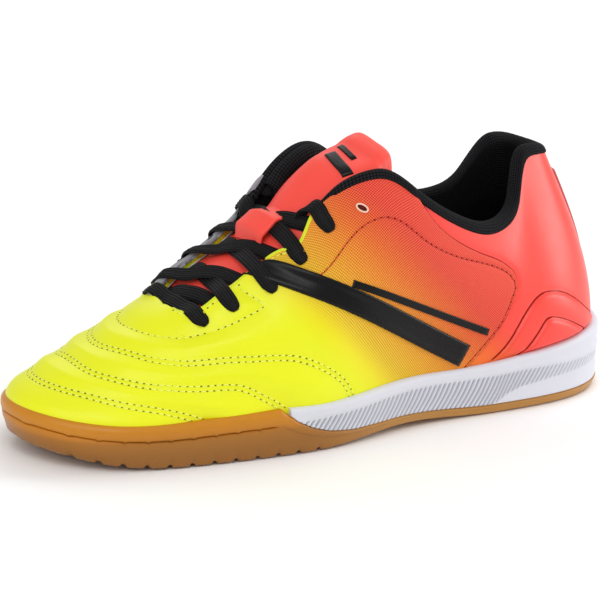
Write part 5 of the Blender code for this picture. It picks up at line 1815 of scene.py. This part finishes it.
def rib_relief(u, h):
    """Fine slanted ribs pressed into the side of the foam, with the painted shade for their valleys."""
    lo = np.interp(u, [r[0] for r in RIB_BAND], [r[1] for r in RIB_BAND])
    hi = np.interp(u, [r[0] for r in RIB_BAND], [r[2] for r in RIB_BAND])
    inside = smooth((h - lo) / 0.8) * smooth((hi - h) / 0.9) * smooth((152.0 - u) / 3.0) * smooth((u - 4.0) / 6.0)
    x = (u + 0.85 * (h - lo) - 0.02 * (h - lo) ** 2) / 2.1
    line = np.clip(np.cos(2 * math.pi * x) * 0.5 + 0.5, 0, 1) ** 1.6
    fadeback = 0.6 + 0.4 * smooth((u - 20) / 40.0)
    # second value: painted shade, 1 in the valleys between the ribs
    return (0.25 - 0.90 * line) * inside * fadeback, line * inside * fadeback


def build_midsole():
    u_rows = dense(np.array([8.0, 60.0, 140.0, 152.0]), 0.42)
    back = np.linspace(0.0, float(v_for_u(np.array([8.0]), -1.0)[0]), 50)[:-1]
    v_o = np.concatenate([back, v_for_u(u_rows, -1.0)])
    v_i = np.concatenate([np.linspace(0.0, float(v_for_u(np.array([8.0]), 1.0)[0]), 50)[:-1], v_for_u(u_rows, 1.0)])
    w = np.concatenate([-v_o[::-1], v_i[1:]])
    u = outline(w)[:, 0]
    g, hh = ground(u), side_height(u)
    lo = g + rubber_height(u) + 0.02
    hi = np.maximum(g + hh, lo + 0.4)
    span = hi - lo
    s = np.concatenate([[0, 0.012, 0.03, 0.06], np.linspace(0.09, 0.86, 44), [0.89, 0.92, 0.945, 0.965, 0.982, 0.994, 1.0]])
    z = lo[:, None] + span[:, None] * s[None, :]
    d_lo, d_hi = z - lo[:, None], hi[:, None] - z
    inset = 0.10 + round_over(d_lo, 0.7) + round_over(d_hi, 1.9)
    # border step under the ribs and the tab that stands up at the back
    v_abs = np.abs(w)[:, None]
    dent = smooth((0.125 - v_abs) / 0.05) * np.exp(-((z - g[:, None] - 17.6) / 0.9) ** 2)
    inset = inset + 0.8 * dent
    inset = inset + 0.30 * smooth((d_lo - 0.55) / 0.3) * smooth((RIB_HEIGHT(u)[:, None] + 0.7 - (z - g[:, None])) / 0.8) * 0.6
    # relief cuts the ribs; the second value is painted shade for their valleys
    relief, painted_shade = rib_relief(u[:, None], z - g[:, None])
    inset = inset - relief
    o2, n2 = outline(w), outward(w)
    pts = np.empty(z.shape + (3,))
    pts[..., :2] = o2[:, None, :] - inset[..., None] * n2[:, None, :]
    pts[..., 2] = z
    inner_top = cup_inner(w, hi, 0.12)
    inner_low = cup_inner(w, np.maximum(lo + 0.3 * span, feather(w)[:, 2] + 0.05), 0.3)
    inner_low[:, 2] = lo + 0.3 * span
    foot = side_point(w, np.full(len(w), 3.4), lo)
    allp = np.concatenate([pts, inner_top[:, None], inner_low[:, None], foot[:, None]], 1)
    m = allp.shape[1]
    painted_shades = np.concatenate([painted_shade, np.zeros((len(w), 3))], 1).reshape(-1)
    f = grid_faces(len(w), m, wrap_m=True)
    ends = []
    for k in (0, len(w) - 1):
        ring = k * m + np.arange(m)
        lo_i, hi_i, part = 0, m - 1, []
        while hi_i - lo_i > 2:
            part.append([ring[lo_i], ring[lo_i + 1], ring[hi_i - 1], ring[hi_i]])
            lo_i, hi_i = lo_i + 1, hi_i - 1
        part.append([ring[lo_i], ring[lo_i + 1], ring[hi_i], ring[hi_i]])
        part = np.array(part)
        ends.append(part[:, ::-1] if k == 0 else part)
    return allp.reshape(-1, 3), np.vstack([f] + ends), painted_shades


def RIB_HEIGHT(u):
    return np.interp(u, [r[0] for r in RIB_BAND], [r[2] for r in RIB_BAND])


v, f, painted_shades = build_midsole()
v, f, first = weld(v, f, 0.002)
MAT_FOAM = look_foam()
mid = add_piece("foam_midsole", v, f, MAT_FOAM, smooth=True, angle=70, painted_shade=painted_shades[first])
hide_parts("midsole")


# -------------------------------------------------------------------- insole
def build_insole():
    v = np.linspace(0, 1, 150)
    w = np.concatenate([-v[::-1], v[1:-1]])
    f, n = feather(w), outward(w)
    rings = []
    for inset, dz in ((WALL + 1.6, 0.0), (WALL + 1.0, 0.8), (WALL + 0.7, INSOLE_THICK - 0.8), (WALL + 1.0, INSOLE_THICK - 0.1),
                      (WALL + 1.9, INSOLE_THICK + 0.1), (WALL + 3.2, INSOLE_THICK - 0.35), (WALL + 6.0, INSOLE_THICK - 0.5)):
        p = f.copy()
        p[:, :2] -= inset * n
        p[:, 2] = floor_z(p[:, 0]) + FLANGE + GAP + dz
        rings.append(p)
    g = np.stack(rings, 1)
    m = g.shape[1]
    faces = grid_faces(len(w), m, wrap_n=True)
    verts = g.reshape(-1, 3)
    k = len(v)
    o = np.arange(k)[::-1]
    i = np.concatenate([[k - 1], k - 1 + np.arange(1, k - 1), [0]])
    extra, fs = [], []
    share = np.linspace(0, 1, 9)[1:-1]
    for col in (0, m - 1):
        a, b = verts[o * m + col], verts[i * m + col]
        rows = a[:, None] + (b - a)[:, None] * share[None, :, None]
        rise = (FLANGE + GAP) + (0.0 if col == 0 else INSOLE_THICK - 0.5)
        rows[..., 2] = floor_z(rows[..., 0]) + rise
        start = len(verts) + len(extra)
        extra += list(rows.reshape(-1, 3))
        ids = start + np.arange(k * len(share)).reshape(k, len(share))
        line = np.concatenate([(o * m + col)[:, None], ids, (i * m + col)[:, None]], 1)
        q = np.stack([line[:-1, :-1], line[1:, :-1], line[1:, 1:], line[:-1, 1:]], -1).reshape(-1, 4)
        fs.append(q if col == 0 else q[:, ::-1])
    verts = np.vstack([verts, np.array(extra)])
    return verts, np.vstack([faces] + fs)


v, f = build_insole()
v, f, first = weld(v, f, 0.002)
insole = add_piece("sock_liner", v, f, look_cloth("liner_cloth", "18181B"), uv=v[:, :2].copy())
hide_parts("insole")

# ---------------------------------------------------- floor, light, camera
def build_floor():
    me = bpy.data.meshes.new("floor")
    s, z = 2.4, -0.0002
    me.from_pydata([(-s, -s, z), (s, -s, z), (s, s, z), (-s, s, z)], [], [(0, 1, 2, 3)])
    ob = bpy.data.objects.new("floor", me)
    bpy.context.scene.collection.objects.link(ob)
    m = Look("floor_paper", "FFFFFF", 0.8, 0.1)
    me.materials.append(m.mat)
    return ob


build_floor()
world = bpy.data.worlds.new("studio")
bpy.context.scene.world = world
world.use_nodes = True
world.node_tree.nodes["Background"].inputs[0].default_value = (1.0, 1.0, 1.0, 1.0)
world.node_tree.nodes["Background"].inputs[1].default_value = 0.62


def soft_light(name, place, aim, size, power, shape=(1.0, 1.0), colour=(1, 1, 1)):
    data = bpy.data.lights.new(name, "AREA")
    data.shape = "RECTANGLE"
    data.size, data.size_y = size * shape[0], size * shape[1]
    data.energy = power
    data.color = colour
    ob = bpy.data.objects.new(name, data)
    bpy.context.scene.collection.objects.link(ob)
    ob.location = place
    ob.rotation_euler = (Vector(aim) - Vector(place)).to_track_quat("-Z", "Y").to_euler()
    return ob


soft_light("key", (-0.55, -0.9, 1.1), (0, 0, 0.04), 0.7, 4.6)
soft_light("front", (-0.9, -0.35, 0.55), (0, 0, 0.04), 0.5, 1.6)
soft_light("back_edge", (0.75, 0.15, 0.8), (0, 0, 0.05), 0.6, 2.4)
soft_light("sweep", (0.55, 1.0, 0.9), (0.45, 0.75, 0.0), 0.9, 3.0)
soft_light("heel_stripe", (0.95, -0.42, 0.32), (0.08, 0, 0.05), 0.4, 3.2, (0.7, 1.3))

AZIMUTH, ELEVATION, ROLL = math.radians(34.0), math.radians(17.0), math.radians(-2.1)
DISTANCE, FOCAL_PX = 1.340, 3780.0
target = np.array([-0.0065, -0.0033, 0.0427])
fwd = np.array([math.sin(AZIMUTH) * math.cos(ELEVATION), math.cos(AZIMUTH) * math.cos(ELEVATION), -math.sin(ELEVATION)])
right = np.array([math.cos(AZIMUTH), -math.sin(AZIMUTH), 0.0])
upv = np.cross(right, fwd)
r2 = math.cos(ROLL) * right - math.sin(ROLL) * upv
u2 = math.sin(ROLL) * right + math.cos(ROLL) * upv
cam_data = bpy.data.cameras.new("camera")
cam_data.sensor_width = 36.0
cam_data.lens = FOCAL_PX * 36.0 / 600.0
cam_data.clip_start, cam_data.clip_end = 0.05, 20.0
camera = bpy.data.objects.new("camera", cam_data)
bpy.context.scene.collection.objects.link(camera)
place = target - DISTANCE * fwd
camera.matrix_world = Matrix((
    (r2[0], u2[0], -fwd[0], place[0]),
    (r2[1], u2[1], -fwd[1], place[1]),
    (r2[2], u2[2], -fwd[2], place[2]),
    (0, 0, 0, 1)))
bpy.context.scene.camera = camera
bpy.context.scene.view_settings.view_transform = "Standard"
